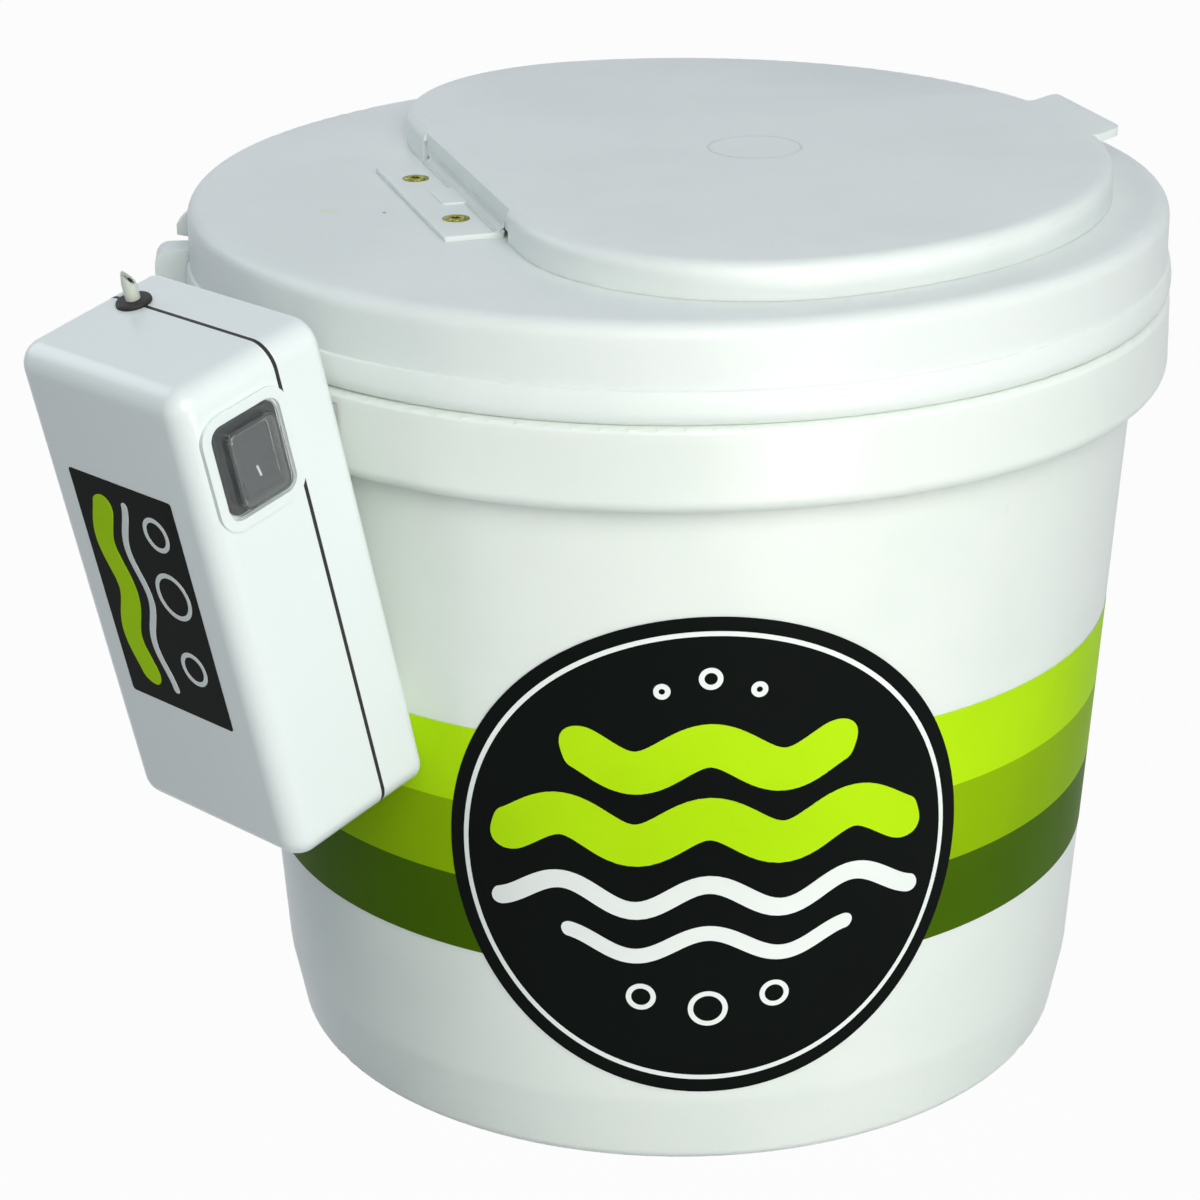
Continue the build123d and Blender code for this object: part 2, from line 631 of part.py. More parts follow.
def make_hatch():
    hatch = d_block(0, HATCH_BOTTOM_Z, HATCH_TOP_Z)
    hatch = fillet(hatch.faces().sort_by(Axis.Z)[-1].edges(), HATCH_ROUND)
    hollow = d_block(HATCH_WALL, HATCH_BOTTOM_Z - PAST, HATCH_TOP_Z - HATCH_WALL)
    hollow = fillet(hollow.faces().sort_by(Axis.Z)[-1].edges(), HATCH_ROUND - HATCH_WALL)
    hatch = hatch - hollow

    # The hinge web stands in from the straight side and stops short of the hinge line.
    half = WEB_WIDTH / 2
    low = HATCH_BOTTOM_Z - PAST
    outside = HATCH_FLAT + PAST
    web_low = HINGE_Z + HINGE_OUT
    hatch = hatch - bar(WEB_FACE, outside, -half, half, low, HATCH_TOP_Z + PAST)
    hatch = hatch - bar(WEB_FACE - WEB_ROOM, outside, -half, half, low, web_low)
    hatch = hatch + bar(WEB_FACE - WEB_THICKNESS, WEB_FACE, -half, half, web_low, HATCH_TOP_Z - WEB_BELOW_TOP)
    slit_top = HATCH_TOP_Z - HATCH_ROUND
    for y in (-half - SLIT / 2, half + SLIT / 2):
        hatch = hatch - bar(WEB_FACE - SLIT_DEPTH, outside, y - SLIT / 2, y + SLIT / 2, low, slit_top)
    return at_azimuth(HINGE_AZ) * (hatch + make_tab())


def make_tab():
    """The thumb tab, turned up a little."""
    root = HATCH_R - TAB_ROOT
    bend = HATCH_R - TAB_BEND
    side = Polyline(
        (-root, HATCH_TOP_Z), (-root, HATCH_TOP_Z - HATCH_WALL), (-bend, HATCH_TOP_Z - TAB_THICKNESS),
        (-TAB_REACH, HATCH_TOP_Z + TAB_LIFT - TAB_THICKNESS), (-TAB_REACH, HATCH_TOP_Z + TAB_LIFT),
        (-bend, HATCH_TOP_Z), close=True,
    )
    tab = extrude(Plane.XZ * make_face(side), TAB_WIDTH / 2, both=True)
    return fillet(tab.edges().filter_by(Axis.Z).group_by(Axis.X)[0], TAB_ROUND)


def make_leaf():
    """The strip that is riveted to the lid, with the bead of the living hinge and a raised stop pad."""
    half = LEAF_LENGTH / 2
    leaf = bar(HINGE_X, HINGE_X + LEAF_WIDTH, -half, half, LID_TOP_Z, LEAF_TOP_Z)
    leaf = fillet(leaf.edges().filter_by(Axis.Z), LEAF_CORNER)
    leaf = fillet(leaf.faces().sort_by(Axis.Z)[-1].edges(), LEAF_EDGE)
    foot_top = HINGE_Z - HINGE_BEAD_R / 2
    foot = bar(HINGE_X - HINGE_BEAD_R / 2, HINGE_X + LEAF_FOOT, -half, half, LID_TOP_Z, foot_top)
    bead = rod(HINGE_BEAD_R, (HINGE_X, -half, HINGE_Z), (HINGE_X, half, HINGE_Z))
    pad_x = HINGE_X + STOP_PAD_START
    pad_y = STOP_PAD[1] / 2
    pad = bar(pad_x, pad_x + STOP_PAD[0], -pad_y, pad_y, LID_TOP_Z, LEAF_TOP_Z + STOP_PAD_PROUD)
    pad = fillet(pad.edges().filter_by(Axis.Z), STOP_PAD_CORNER)
    leaf = leaf + foot + bead + pad
    for y in (-RIVET_SPACING / 2, RIVET_SPACING / 2):
        leaf = leaf - rod(RIVET_R, (RIVET_X, y, LID_UNDER_Z), (RIVET_X, y, LEAF_TOP_Z + PAST))
    return at_azimuth(HINGE_AZ) * leaf


def make_hinge_rivets():
    """Two tubular rivets: a rolled head above the leaf and one under the lid."""
    low = LID_UNDER_Z
    points = [
        ((RIVET_BORE_R, low - RIVET_HEAD), 0),
        ((RIVET_TAIL_R, low - RIVET_HEAD), 0),
        ((RIVET_TAIL_R, low), 0),
        ((RIVET_R, low), 0),
        ((RIVET_R, LEAF_TOP_Z), 0),
        ((RIVET_HEAD_R, LEAF_TOP_Z), 0),
        ((RIVET_HEAD_R, LEAF_TOP_Z + RIVET_HEAD), RIVET_ROLL),
        ((RIVET_BORE_R, LEAF_TOP_Z + RIVET_HEAD), 0),
    ]
    rivet = turned([p for p, _ in points], [r for _, r in points])
    places = [Pos(RIVET_X, y, 0) for y in (-RIVET_SPACING / 2, RIVET_SPACING / 2)]
    return [at_azimuth(HINGE_AZ) * place * rivet for place in places]


# ================================================================ bail
def bail_rest_angle():
    """Degrees below level at which the grip meets the pail's wall."""
    lean = math.atan(WALL_SLOPE)
    stretch = math.sqrt(1 + WALL_SLOPE ** 2)
    reach = body_r(EAR_Z) + (GRIP_R + GRIP_GAP) * stretch
    return math.degrees(lean + math.acos(reach / (BAIL_DEPTH * stretch)))


def bail_place():
    """Bail drawn in its own plane: X along the ears, Y out to the grip, then hung behind the pail."""
    return Pos(0, 0, EAR_Z) * at_azimuth(BAIL_AZ) * Rot(bail_rest_angle(), 0, 0) * Rot(180, 0, 0)


def make_bail_wire():
    pin_end = COLLAR_IN - WIRE_THROUGH
    path = FilletPolyline(
        (pin_end, 0), (BAIL_HALF, 0), (BAIL_HALF, BAIL_DEPTH),
        (-BAIL_HALF, BAIL_DEPTH), (-BAIL_HALF, 0), (-pin_end, 0),
        radius=[BAIL_BEND, BAIL_CORNER, BAIL_CORNER, BAIL_BEND],
    )
    start = Plane(origin=path @ 0, z_dir=path % 0)
    wire = sweep(start * Circle(WIRE_R), path=path)
    for side in (-1, 1):
        wire = wire + rod(WIRE_HEAD_R, (side * pin_end, 0, 0), (side * (pin_end + WIRE_HEAD), 0, 0))
    return bail_place() * wire


def make_bail_grip():
    half = GRIP_LENGTH / 2
    bore = WIRE_R + GRIP_BORE_GAP
    end = GRIP_R - GRIP_TAPER
    shoulder = half - GRIP_TAPER_LENGTH
    points = [
        ((bore, -half), 0),
        ((end, -half), GRIP_EDGE),
        ((GRIP_R, -shoulder), GRIP_CROWN),
        ((GRIP_R, shoulder), GRIP_CROWN),
        ((end, half), GRIP_EDGE),
        ((bore, half), 0),
    ]
    grip = turned([p for p, _ in points], [r for _, r in points])
    for i in range(FLUTES):
        x = GRIP_R + FLUTE_OUT
        flute = rod(FLUTE_R, (x, 0, FLUTE_END - half), (x, 0, half - FLUTE_END))
        grip = grip - Rot(0, 0, i * 360 / FLUTES) * flute
    return bail_place() * Pos(0, BAIL_DEPTH, 0) * Rot(0, 90, 0) * grip


# ================================================================ pump
def pump_place():
    """The pump is drawn upright with its back on Y = 0 and its front at -Y, then tilted and hung."""
    return Rot(0, 0, PUMP_AZ) * Pos(0, -PUMP_BACK_R, PUMP_BASE_Z) * Rot(PUMP_TILT, 0, 0)


def case_block(inset, round_front, round_back):
    """The case's outside, or its hollow, as one rounded block."""
    half = CASE_WIDTH / 2 - inset
    block = bar(-half, half, -CASE_DEPTH + inset, -inset, inset, CASE_HEIGHT - inset)
    back = block.faces().sort_by(Axis.Y)[-1]
    others = [e for e in block.edges() if e not in back.edges()]
    block = fillet(others, round_front)
    block = fillet(block.faces().sort_by(Axis.Y)[-1].edges(), round_back)
    return block


def rounded_prism(size, radius, x0, x1, y, z):
    """A rounded rectangle on the case's side, from x0 to x1, of size (depth direction, height)."""
    plane = Plane(origin=(x0, y, z), x_dir=(0, 1, 0), z_dir=(1, 0, 0))
    return extrude(plane * RectangleRounded(size[0], size[1], radius), x1 - x0)


def half_space(front):
    """Everything on one side of the gasket."""
    if front:
        return bar(-FAR, FAR, -FAR, GASKET_FRONT, -FAR, FAR)
    return bar(-FAR, FAR, -BACK_DEPTH, FAR, -FAR, FAR)


def make_case():
    side = CASE_WIDTH / 2
    outer = case_block(0, CASE_ROUND, CASE_BACK_ROUND)
    shell = outer - case_block(CASE_WALL, CASE_ROUND - CASE_WALL, HOLLOW_BACK_ROUND)
    outlet = rod(GROMMET_NECK_R, (OUTLET_X, GASKET_Y, HEAD_TOP), (OUTLET_X, GASKET_Y, CASE_HEIGHT + PAST))

    # Front shell: the switch's pad, its well and its window, and a blind boss for each screw.
    pad_back = side - CASE_WALL - PAD_BACKING
    pad = rounded_prism(PAD_SIZE, PAD_ROUND, pad_back, side + PAD_PROUD, PAD_Y, SWITCH_Z)
    lip = rounded_prism(PAD_SIZE, PAD_ROUND, side + PAD_LIP_GAP, side + PAD_PROUD, PAD_Y, SWITCH_Z)
    well = rounded_prism(WELL_SIZE, WELL_ROUND, WELL_FLOOR, side + PAD_PROUD + PAST, SWITCH_Y, SWITCH_Z)
    window_size = (HOUSING_SIZE[0] + 2 * HOUSING_GAP, HOUSING_SIZE[1] + 2 * HOUSING_GAP)
    window_round = HOUSING_ROUND + HOUSING_GAP
    window = rounded_prism(window_size, window_round, pad_back - PAST, side + PAST, SWITCH_Y, SWITCH_Z)
    front = shell & half_space(True)
    for x, z in SCREW_SPOTS:
        front = front + (rod(BOSS_R, (x, GASKET_FRONT, z), (x, -SCREW_LENGTH - BOSS_END, z)) & outer)
    front = front + (pad & half_space(True)) + lip - well - window - outlet
    for x, z in SCREW_SPOTS:
        front = front - rod(SCREW_R, (x, 0, z), (x, -SCREW_LENGTH - SCREW_TIP_ROOM, z))

    # Back shell: bosses with sunk heads for the case screws, and two for the clip's.
    back = shell & half_space(False)
    for x, z in SCREW_SPOTS:
        back = back + (rod(BOSS_R, (x, -BACK_DEPTH, z), (x, -CASE_WALL / 2, z)) & outer)
    back = back - outlet
    for x, z in SCREW_SPOTS:
        back = back - rod(SCREW_R + SCREW_GAP, (x, PAST, z), (x, -BACK_DEPTH - PAST, z))
        back = back - rod(SCREW_HEAD_R + SCREW_HEAD_GAP, (x, PAST, z), (x, -SCREW_HEAD, z))
    for x, z in CLIP_SCREW_SPOTS:
        back = back + rod(BOSS_R, (x, -CLIP_BOSS, z), (x, -CASE_WALL / 2, z))
        back = back - rod(SCREW_R, (x, PAST, z), (x, CLIP_BASE - CLIP_SCREW_LENGTH - SCREW_TIP_ROOM, z))

    gasket = (shell & bar(-FAR, FAR, GASKET_FRONT, -BACK_DEPTH, -FAR, FAR)) - outlet
    back = pump_place() * back + make_foot_ribs()
    return pump_place() * front, back, pump_place() * gasket


def make_foot_ribs():
    """Two ribs under the back shell that hold the pump off the pail's wall."""
    outline = [(0, -PAST)] + pail_outer_points(SEAT_GAP) + [(0, COLLAR_TOP_Z)]
    keep_out = turned(outline, [0] * len(outline))
    half = FOOT_RIB_THICKNESS / 2
    ribs = []
    for x in (-FOOT_RIB_X, FOOT_RIB_X):
        rib = bar(x - half, x + half, -CASE_WALL / 2, FOOT_RIB_REACH, CASE_BACK_ROUND, FOOT_RIB_TOP)
        top_edge = rib.edges().filter_by(Axis.X).group_by(Axis.Z)[-1].sort_by(Axis.Y)[-1]
        rib = pump_place() * chamfer(top_edge, FOOT_RIB_CHAMFER) - keep_out
        ribs.append(rib.solids()[0])
    return ribs


def make_screws(spots, head_y, length):
    """Pan-head screws with a cross recess, that point to -Y."""
    screws = []
    recess_y = head_y + SCREW_HEAD - DRIVE_DEPTH
    past_y = head_y + SCREW_HEAD + PAST
    long = DRIVE_LENGTH / 2
    wide = DRIVE_WIDTH / 2
    for x, z in spots:
        shank = rod(SCREW_R, (x, head_y, z), (x, head_y - length, z))
        head = rod(SCREW_HEAD_R, (x, head_y, z), (x, head_y + SCREW_HEAD, z))
        head = fillet(head.faces().sort_by(Axis.Y)[-1].edges(), SCREW_DOME)
        upright = bar(x - wide, x + wide, recess_y, past_y, z - long, z + long)
        level = bar(x - long, x + long, recess_y, past_y, z - wide, z + wide)
        screws.append(pump_place() * (shank + head - upright - level))
    return screws


def make_clip():
    """A pocket on the back shell that drops over the bracket's tongue."""
    deep = HANGER_FROM_CASE + HANGER_STEEL / 2 + CLIP_SIDE_GAP
    low = TONGUE_TOP - CLIP_HEIGHT + CLIP_MOUTH
    top = TONGUE_TOP + SEAT_GAP
    wide = CLIP_HALF + CLIP_WALL
    plate = bar(-wide - CLIP_FLANGE, wide + CLIP_FLANGE, 0, CLIP_BASE, low, top + CLIP_WALL)
    plate = fillet(plate.edges().filter_by(Axis.Y), CLIP_CORNER)
    pocket = bar(-wide, wide, 0, deep + CLIP_WALL, low, top + CLIP_WALL)
    pocket = fillet(pocket.edges().filter_by(Axis.Z).group_by(Axis.Y)[-1], CLIP_EDGE)
    clip = plate + pocket - bar(-CLIP_HALF, CLIP_HALF, CLIP_BASE, deep, low - PAST, top)
    half = CLIP_WINDOW / 2
    window = bar(-half, half, deep - PAST, deep + CLIP_WALL + PAST, low + CLIP_WINDOW_END, top - CLIP_WINDOW_END)
    clip = clip - fillet(window.edges().filter_by(Axis.Y), CLIP_WINDOW_ROUND)
    for x, z in CLIP_SCREW_SPOTS:
        clip = clip - rod(SCREW_R + SCREW_GAP, (x, -PAST, z), (x, CLIP_BASE + PAST, z))
    return pump_place() * clip


def case_to_wall(y, z):
    """A point behind the case (pump's own y and z) as distance from the pail's axis, and height."""
    tilt = math.radians(PUMP_TILT)
    out = PUMP_BACK_R - y * math.cos(tilt) + z * math.sin(tilt)
    height = PUMP_BASE_Z + y * math.sin(tilt) + z * math.cos(tilt)
    return out, height


def make_bracket():
    """A bent strip: a leg on the collar, a U-bend under it and a tongue that points up."""
    leg_x = COLLAR_R + HANGER_GAP + HANGER_STEEL / 2
    top = case_to_wall(HANGER_FROM_CASE, TONGUE_TOP)
    low = case_to_wall(HANGER_FROM_CASE, TONGUE_BOTTOM)
    path = Plane.XZ * FilletPolyline(
        (leg_x, COLLAR_TOP_Z - HANGER_LEG_DROP), (leg_x, low[1]), low, top,
        radius=[HANGER_BEND, HANGER_BEND],
    )
    start = Plane(origin=path @ 0, x_dir=(0, 1, 0), z_dir=path % 0)
    strip = sweep(start * Rectangle(HANGER_WIDTH, HANGER_STEEL), path=path)
    for y in (-BRACKET_RIVET_X, BRACKET_RIVET_X):
        strip = strip - rod(BRACKET_RIVET_R, (COLLAR_R - PAST, y, BRACKET_RIVET_Z),
                            (leg_x + HANGER_STEEL / 2 + PAST, y, BRACKET_RIVET_Z))
    return at_azimuth(PUMP_AZ) * strip


def make_bracket_rivets():
    """Two rivets, each with a domed head on the strip and a flat tail inside the collar."""
    rivets = []
    face = COLLAR_R + HANGER_GAP + HANGER_STEEL
    z = BRACKET_RIVET_Z
    for y in (-BRACKET_RIVET_X, BRACKET_RIVET_X):
        far_edge = BRACKET_RIVET_X + BRACKET_RIVET_TAIL_R
        tail_x = math.sqrt(COLLAR_IN ** 2 - far_edge ** 2) - BRACKET_TAIL_GAP
        shank = rod(BRACKET_RIVET_R, (tail_x - BRACKET_RIVET_HEAD, y, z), (face + BRACKET_RIVET_HEAD, y, z))
        head = rod(BRACKET_RIVET_HEAD_R, (face, y, z), (face + BRACKET_RIVET_HEAD, y, z))
        head = fillet(head.faces().sort_by(Axis.X)[-1].edges(), BRACKET_RIVET_DOME)
        tail = rod(BRACKET_RIVET_TAIL_R, (tail_x - BRACKET_RIVET_HEAD, y, z), (tail_x, y, z))
        rivets.append(at_azimuth(PUMP_AZ) * (shank + head + tail))
    return rivets


# ================================================================ switch
def make_switch_housing():
    side = CASE_WIDTH / 2
    pivot = side - ROCKER_PIVOT
    back = side - HOUSING_DEPTH + PAD_PROUD
    housing = rounded_prism(HOUSING_SIZE, HOUSING_ROUND, back, WELL_FLOOR, SWITCH_Y, SWITCH_Z)
    room = (HOUSING_SIZE[0] - 2 * HOUSING_WALL, HOUSING_SIZE[1] - 2 * HOUSING_WALL)
    well_low = side - HOUSING_WELL
    housing = housing - rounded_prism(room, HOUSING_ROUND / 2, well_low, WELL_FLOOR + PAST, SWITCH_Y, SWITCH_Z)
    housing = housing - rod(ROCKER_PIN_R + ROCKER_PIN_GAP, (pivot, SWITCH_Y - HOUSING_SIZE[0], SWITCH_Z),
                            (pivot, SWITCH_Y + HOUSING_SIZE[0], SWITCH_Z))
    for z in (SWITCH_Z - TAG_SPACING, SWITCH_Z, SWITCH_Z + TAG_SPACING):
        housing = housing + bar(
            back - TAG_LENGTH, back + SUNK, SWITCH_Y - TAG_WIDTH / 2, SWITCH_Y + TAG_WIDTH / 2,
            z - TAG_THICKNESS / 2, z + TAG_THICKNESS / 2,
        )
    return pump_place() * housing


def make_rocker():
    """A shallow V on a pin, drawn level and then tipped so that its lower end stands out: switched off."""
    half = ROCKER_LENGTH / 2
    tip = ROCKER_CROWN + half * math.tan(math.radians(ROCKER_THROW / 2))
    heel, depth = ROCKER_HEEL
    profile = [
        ((-half, tip), 0.8),
        ((0, ROCKER_CROWN - ROCKER_DIP), 3.0),
        ((half, tip), 0.8),
        ((half, -ROCKER_SKIRT), 0.5),
        ((heel, -depth), 1.0),
        ((-heel, -depth), 1.0),
        ((-half, -ROCKER_SKIRT), 0.5),
    ]
    outline = FilletPolyline(*[p for p, _ in profile], radius=[r for _, r in profile], close=True)
    side = Plane(origin=(0, -ROCKER_WIDTH / 2, 0), x_dir=(0, 0, 1), z_dir=(0, 1, 0))
    rocker = extrude(side * make_face(outline), ROCKER_WIDTH)
    pin_end = HOUSING_SIZE[0] / 2 - ROCKER_PIN_SHORT
    rocker = rocker + rod(ROCKER_PIN_R, (0, -pin_end, 0), (0, pin_end, 0))
    at_pivot = Pos(CASE_WIDTH / 2 - ROCKER_PIVOT, SWITCH_Y, SWITCH_Z)
    return pump_place() * at_pivot * Rot(0, -ROCKER_THROW / 2, 0) * rocker


def make_cover():
    """The clear cover: a flange in the well and a hollow dome over the rocker."""
    top = WELL_FLOOR + DOME_HEIGHT
    flange = rounded_prism(COVER_SIZE, COVER_ROUND, WELL_FLOOR, WELL_FLOOR + COVER_FLANGE, SWITCH_Y, SWITCH_Z)
    dome = rounded_prism(DOME_SIZE, DOME_ROUND, WELL_FLOOR, top, SWITCH_Y, SWITCH_Z)
    dome = fillet(dome.faces().sort_by(Axis.X)[-1].edges(), DOME_EDGE)
    room = (DOME_SIZE[0] - 2 * COVER_WALL, DOME_SIZE[1] - 2 * COVER_WALL)
    room_round = DOME_ROUND - COVER_WALL
    hollow = rounded_prism(room, room_round, WELL_FLOOR - PAST, top - COVER_WALL, SWITCH_Y, SWITCH_Z)
    return pump_place() * (flange + dome - hollow)


# ================================================================ air outlet
def make_grommet():
    low = CASE_HEIGHT - CASE_WALL
    inner_r = GROMMET_R - GROMMET_INNER_LESS
    points = [
        ((NIPPLE_STEM_R, low - GROMMET_PROUD), 0),
        ((inner_r, low - GROMMET_PROUD), GROMMET_ROUNDS[0]),
        ((inner_r, low), 0),
        ((GROMMET_NECK_R, low), 0),
        ((GROMMET_NECK_R, CASE_HEIGHT), 0),
        ((GROMMET_R, CASE_HEIGHT), 0),
        ((GROMMET_R, CASE_HEIGHT + GROMMET_PROUD), GROMMET_ROUNDS[1]),
        ((NIPPLE_STEM_R, CASE_HEIGHT + GROMMET_PROUD), 0),
    ]
    grommet = turned([p for p, _ in points], [r for _, r in points])
    return pump_place() * Pos(OUTLET_X, GASKET_Y, 0) * grommet


def make_nipple():
    shoulder = CASE_HEIGHT + GROMMET_PROUD
    straight = CASE_HEIGHT + NIPPLE_STRAIGHT
    points = [
        (NIPPLE_BORE_R, NIPPLE_LOW),
        (NIPPLE_STEM_R, NIPPLE_LOW),
        (NIPPLE_STEM_R, shoulder),
        (NIPPLE_R, shoulder),
        (NIPPLE_R, straight),
        (NIPPLE_TIP_R, straight + NIPPLE_TIP),
        (NIPPLE_BORE_R, straight + NIPPLE_TIP),
    ]
    return pump_place() * Pos(OUTLET_X, GASKET_Y, 0) * turned(points, [0] * len(points))


# ================================================================ pump works
def make_cells():
    """Two dry cells side by side, one of them upside down."""
    points = [
        ((0, 0), 0),
        ((CELL_R, 0), CELL_EDGE),
        ((CELL_R, CELL_HEIGHT), CELL_EDGE),
        ((CELL_NUB_R, CELL_HEIGHT), 0),
        ((CELL_NUB_R, CELL_HEIGHT + CELL_NUB), CELL_NUB_EDGE),
        ((0, CELL_HEIGHT + CELL_NUB), 0),
    ]
    body = turned([p for p, _ in points], [r for _, r in points])
    up = Pos(-CELL_PITCH / 2, CELL_Y, CELL_BOTTOM) * body
    down = Pos(CELL_PITCH / 2, CELL_Y, CELL_TOP) * Rot(180, 0, 0) * body
    return pump_place() * up, pump_place() * down


def make_contact(points):
    """A bent metal strip in the X-Z plane through the cells' axes."""
    path = Plane(origin=(0, CELL_Y, 0), x_dir=(1, 0, 0), z_dir=(0, -1, 0)) * FilletPolyline(
        *points, radius=[CONTACT_BEND] * (len(points) - 2)
    )
    start = Plane(origin=path @ 0, x_dir=(0, 1, 0), z_dir=path % 0)
    return pump_place() * sweep(start * Rectangle(CONTACT_WIDTH, CONTACT_STRIP), path=path)


def make_contacts():
    """The bridge under both cells, and one strip under the chassis for each upper pole."""
    half = CELL_PITCH / 2
    floor = CASE_WALL + CONTACT_STRIP / 2
    touch = CELL_BOTTOM - CONTACT_STRIP / 2
    near = half - CONTACT_TOUCH
    far = half + CONTACT_TOUCH
    ramp_foot = near - CONTACT_RAMP
    bridge = make_contact([
        (-far, touch), (-near, touch), (-ramp_foot, floor), (ramp_foot, floor), (near, touch), (far, touch),
    ])
    plate = PLATE_Z - CONTACT_STRIP / 2
    touch = CELL_TOP + CONTACT_STRIP / 2
    ramp_end = far + CONTACT_RAMP
    tail_end = ramp_end + CONTACT_TAIL
    plus = make_contact([(-tail_end, plate), (-ramp_end, plate), (-far, touch), (-near, touch)])
    minus = make_contact([(tail_end, plate), (ramp_end, plate), (far, touch), (near, touch)])
    return bridge, plus, minus


def make_chassis():
    """A shelf over the cells, with the motor's saddle and two posts that carry the pump head's seat."""
    reach_x = CASE_WIDTH / 2 - CASE_WALL - CHASSIS_GAP
    near = -CASE_WALL - CHASSIS_GAP
    far = -CASE_DEPTH + CASE_WALL + CHASSIS_GAP
    plate = bar(-reach_x, reach_x, far, near, PLATE_Z, PLATE_TOP)
    plate = fillet(plate.edges().filter_by(Axis.Z), CASE_ROUND - CASE_WALL)
    wide = MOTOR_R + SADDLE_WALL
    low = PLATE_TOP - SUNK
    saddle = bar(MOTOR_X + SADDLE_END, MOTOR_END - SADDLE_END, CELL_Y - wide, CELL_Y + wide, low, MOTOR_Z)
    saddle = saddle - rod(MOTOR_R, (MOTOR_X, CELL_Y, MOTOR_Z), (MOTOR_END, CELL_Y, MOTOR_Z))
    long = POST_SIZE[0] / 2
    half_x = HEAD_SIZE[0] / 2
    half_y = HEAD_SIZE[1] / 2
    under = SEAT_Z - SEAT_THICKNESS
    seat = bar(CRANK_X - half_x, CRANK_X + half_x, CELL_Y - half_y, CELL_Y + half_y, under, SEAT_Z)
    seat = fillet(seat.edges().filter_by(Axis.Z), SEAT_ROUND)
    seat = seat - rod(DIAPHRAGM_R - SEAT_LEDGE, (CRANK_X, CELL_Y, under - PAST), (CRANK_X, CELL_Y, SEAT_Z + PAST))
    wide = POST_SIZE[1] / 2
    posts = [
        bar(CRANK_X - long, CRANK_X + long, y - wide, y + wide, low, under + SUNK)
        for y in (CELL_Y - half_y + wide, CELL_Y + half_y - wide)
    ]
    return pump_place() * (plate + saddle + posts + seat)


def make_motor():
    start = (MOTOR_X, CELL_Y, MOTOR_Z)
    end = (MOTOR_END, CELL_Y, MOTOR_Z)
    nose_end = (MOTOR_X - NOSE_LENGTH, CELL_Y, MOTOR_Z)
    tail_end = (MOTOR_END + TAIL_LENGTH, CELL_Y, MOTOR_Z)
    can = rod(MOTOR_R - MOTOR_GAP, start, end)
    can = fillet(can.faces().sort_by(Axis.X)[0].edges() + can.faces().sort_by(Axis.X)[-1].edges(), MOTOR_EDGE)
    length, width, thickness = MOTOR_TAG
    tags = [
        bar(MOTOR_END - SUNK, MOTOR_END + length, y - width / 2, y + width / 2,
            MOTOR_Z - thickness / 2, MOTOR_Z + thickness / 2)
        for y in (CELL_Y - MOTOR_TAG_Y, CELL_Y + MOTOR_TAG_Y)
    ]
    bore = rod(SHAFT_R + SHAFT_GAP, (MOTOR_X - NOSE_LENGTH - PAST, CELL_Y, MOTOR_Z),
               (MOTOR_END + TAIL_LENGTH + PAST, CELL_Y, MOTOR_Z))
    return pump_place() * (can + rod(NOSE_R, nose_end, start) + rod(TAIL_R, end, tail_end) + tags - bore)


def make_crank():
    """The motor's shaft, and the eccentric that is pressed on it."""
    half = ECCENTRIC_WIDTH / 2
    tip = (CRANK_X - half - SHAFT_TIP, CELL_Y, MOTOR_Z)
    shaft = rod(SHAFT_R, tip, (MOTOR_END + SHAFT_OUT, CELL_Y, MOTOR_Z))
    off_centre = MOTOR_Z + ECCENTRIC_THROW
    disc = rod(ECCENTRIC_R, (CRANK_X - half, CELL_Y, off_centre), (CRANK_X + half, CELL_Y, off_centre))
    hub = rod(HUB_R, (CRANK_X, CELL_Y, MOTOR_Z), (MOTOR_X - NOSE_LENGTH - HUB_GAP, CELL_Y, MOTOR_Z))
    bore = rod(SHAFT_R + ECCENTRIC_FIT, (CRANK_X - half - PAST, CELL_Y, MOTOR_Z), (MOTOR_X, CELL_Y, MOTOR_Z))
    return pump_place() * shaft, pump_place() * (disc + hub - bore)


def make_drive_arm():
    ring_r = ECCENTRIC_R + ECCENTRIC_THROW + ARM_RING_GAP
    half = ECCENTRIC_WIDTH / 2 - ARM_SIDE
    outer = rod(ring_r + ARM_RING_WALL, (CRANK_X - half, CELL_Y, MOTOR_Z), (CRANK_X + half, CELL_Y, MOTOR_Z))
    wide = ARM_STEM / 2
    stem = bar(CRANK_X - half, CRANK_X + half, CELL_Y - wide, CELL_Y + wide, MOTOR_Z + ring_r, SEAT_Z)
    bore = rod(ring_r, (CRANK_X - half - PAST, CELL_Y, MOTOR_Z), (CRANK_X + half + PAST, CELL_Y, MOTOR_Z))
    return pump_place() * (outer + stem - bore)


def make_diaphragm():
    disc = rod(DIAPHRAGM_R, (CRANK_X, CELL_Y, SEAT_Z), (CRANK_X, CELL_Y, HEAD_BOTTOM))
    plate_top = (CRANK_X, CELL_Y, HEAD_BOTTOM + DIAPHRAGM_PLATE)
    plate = rod(DIAPHRAGM_PLATE_R, (CRANK_X, CELL_Y, HEAD_BOTTOM - SUNK), plate_top)
    return pump_place() * (disc + plate)


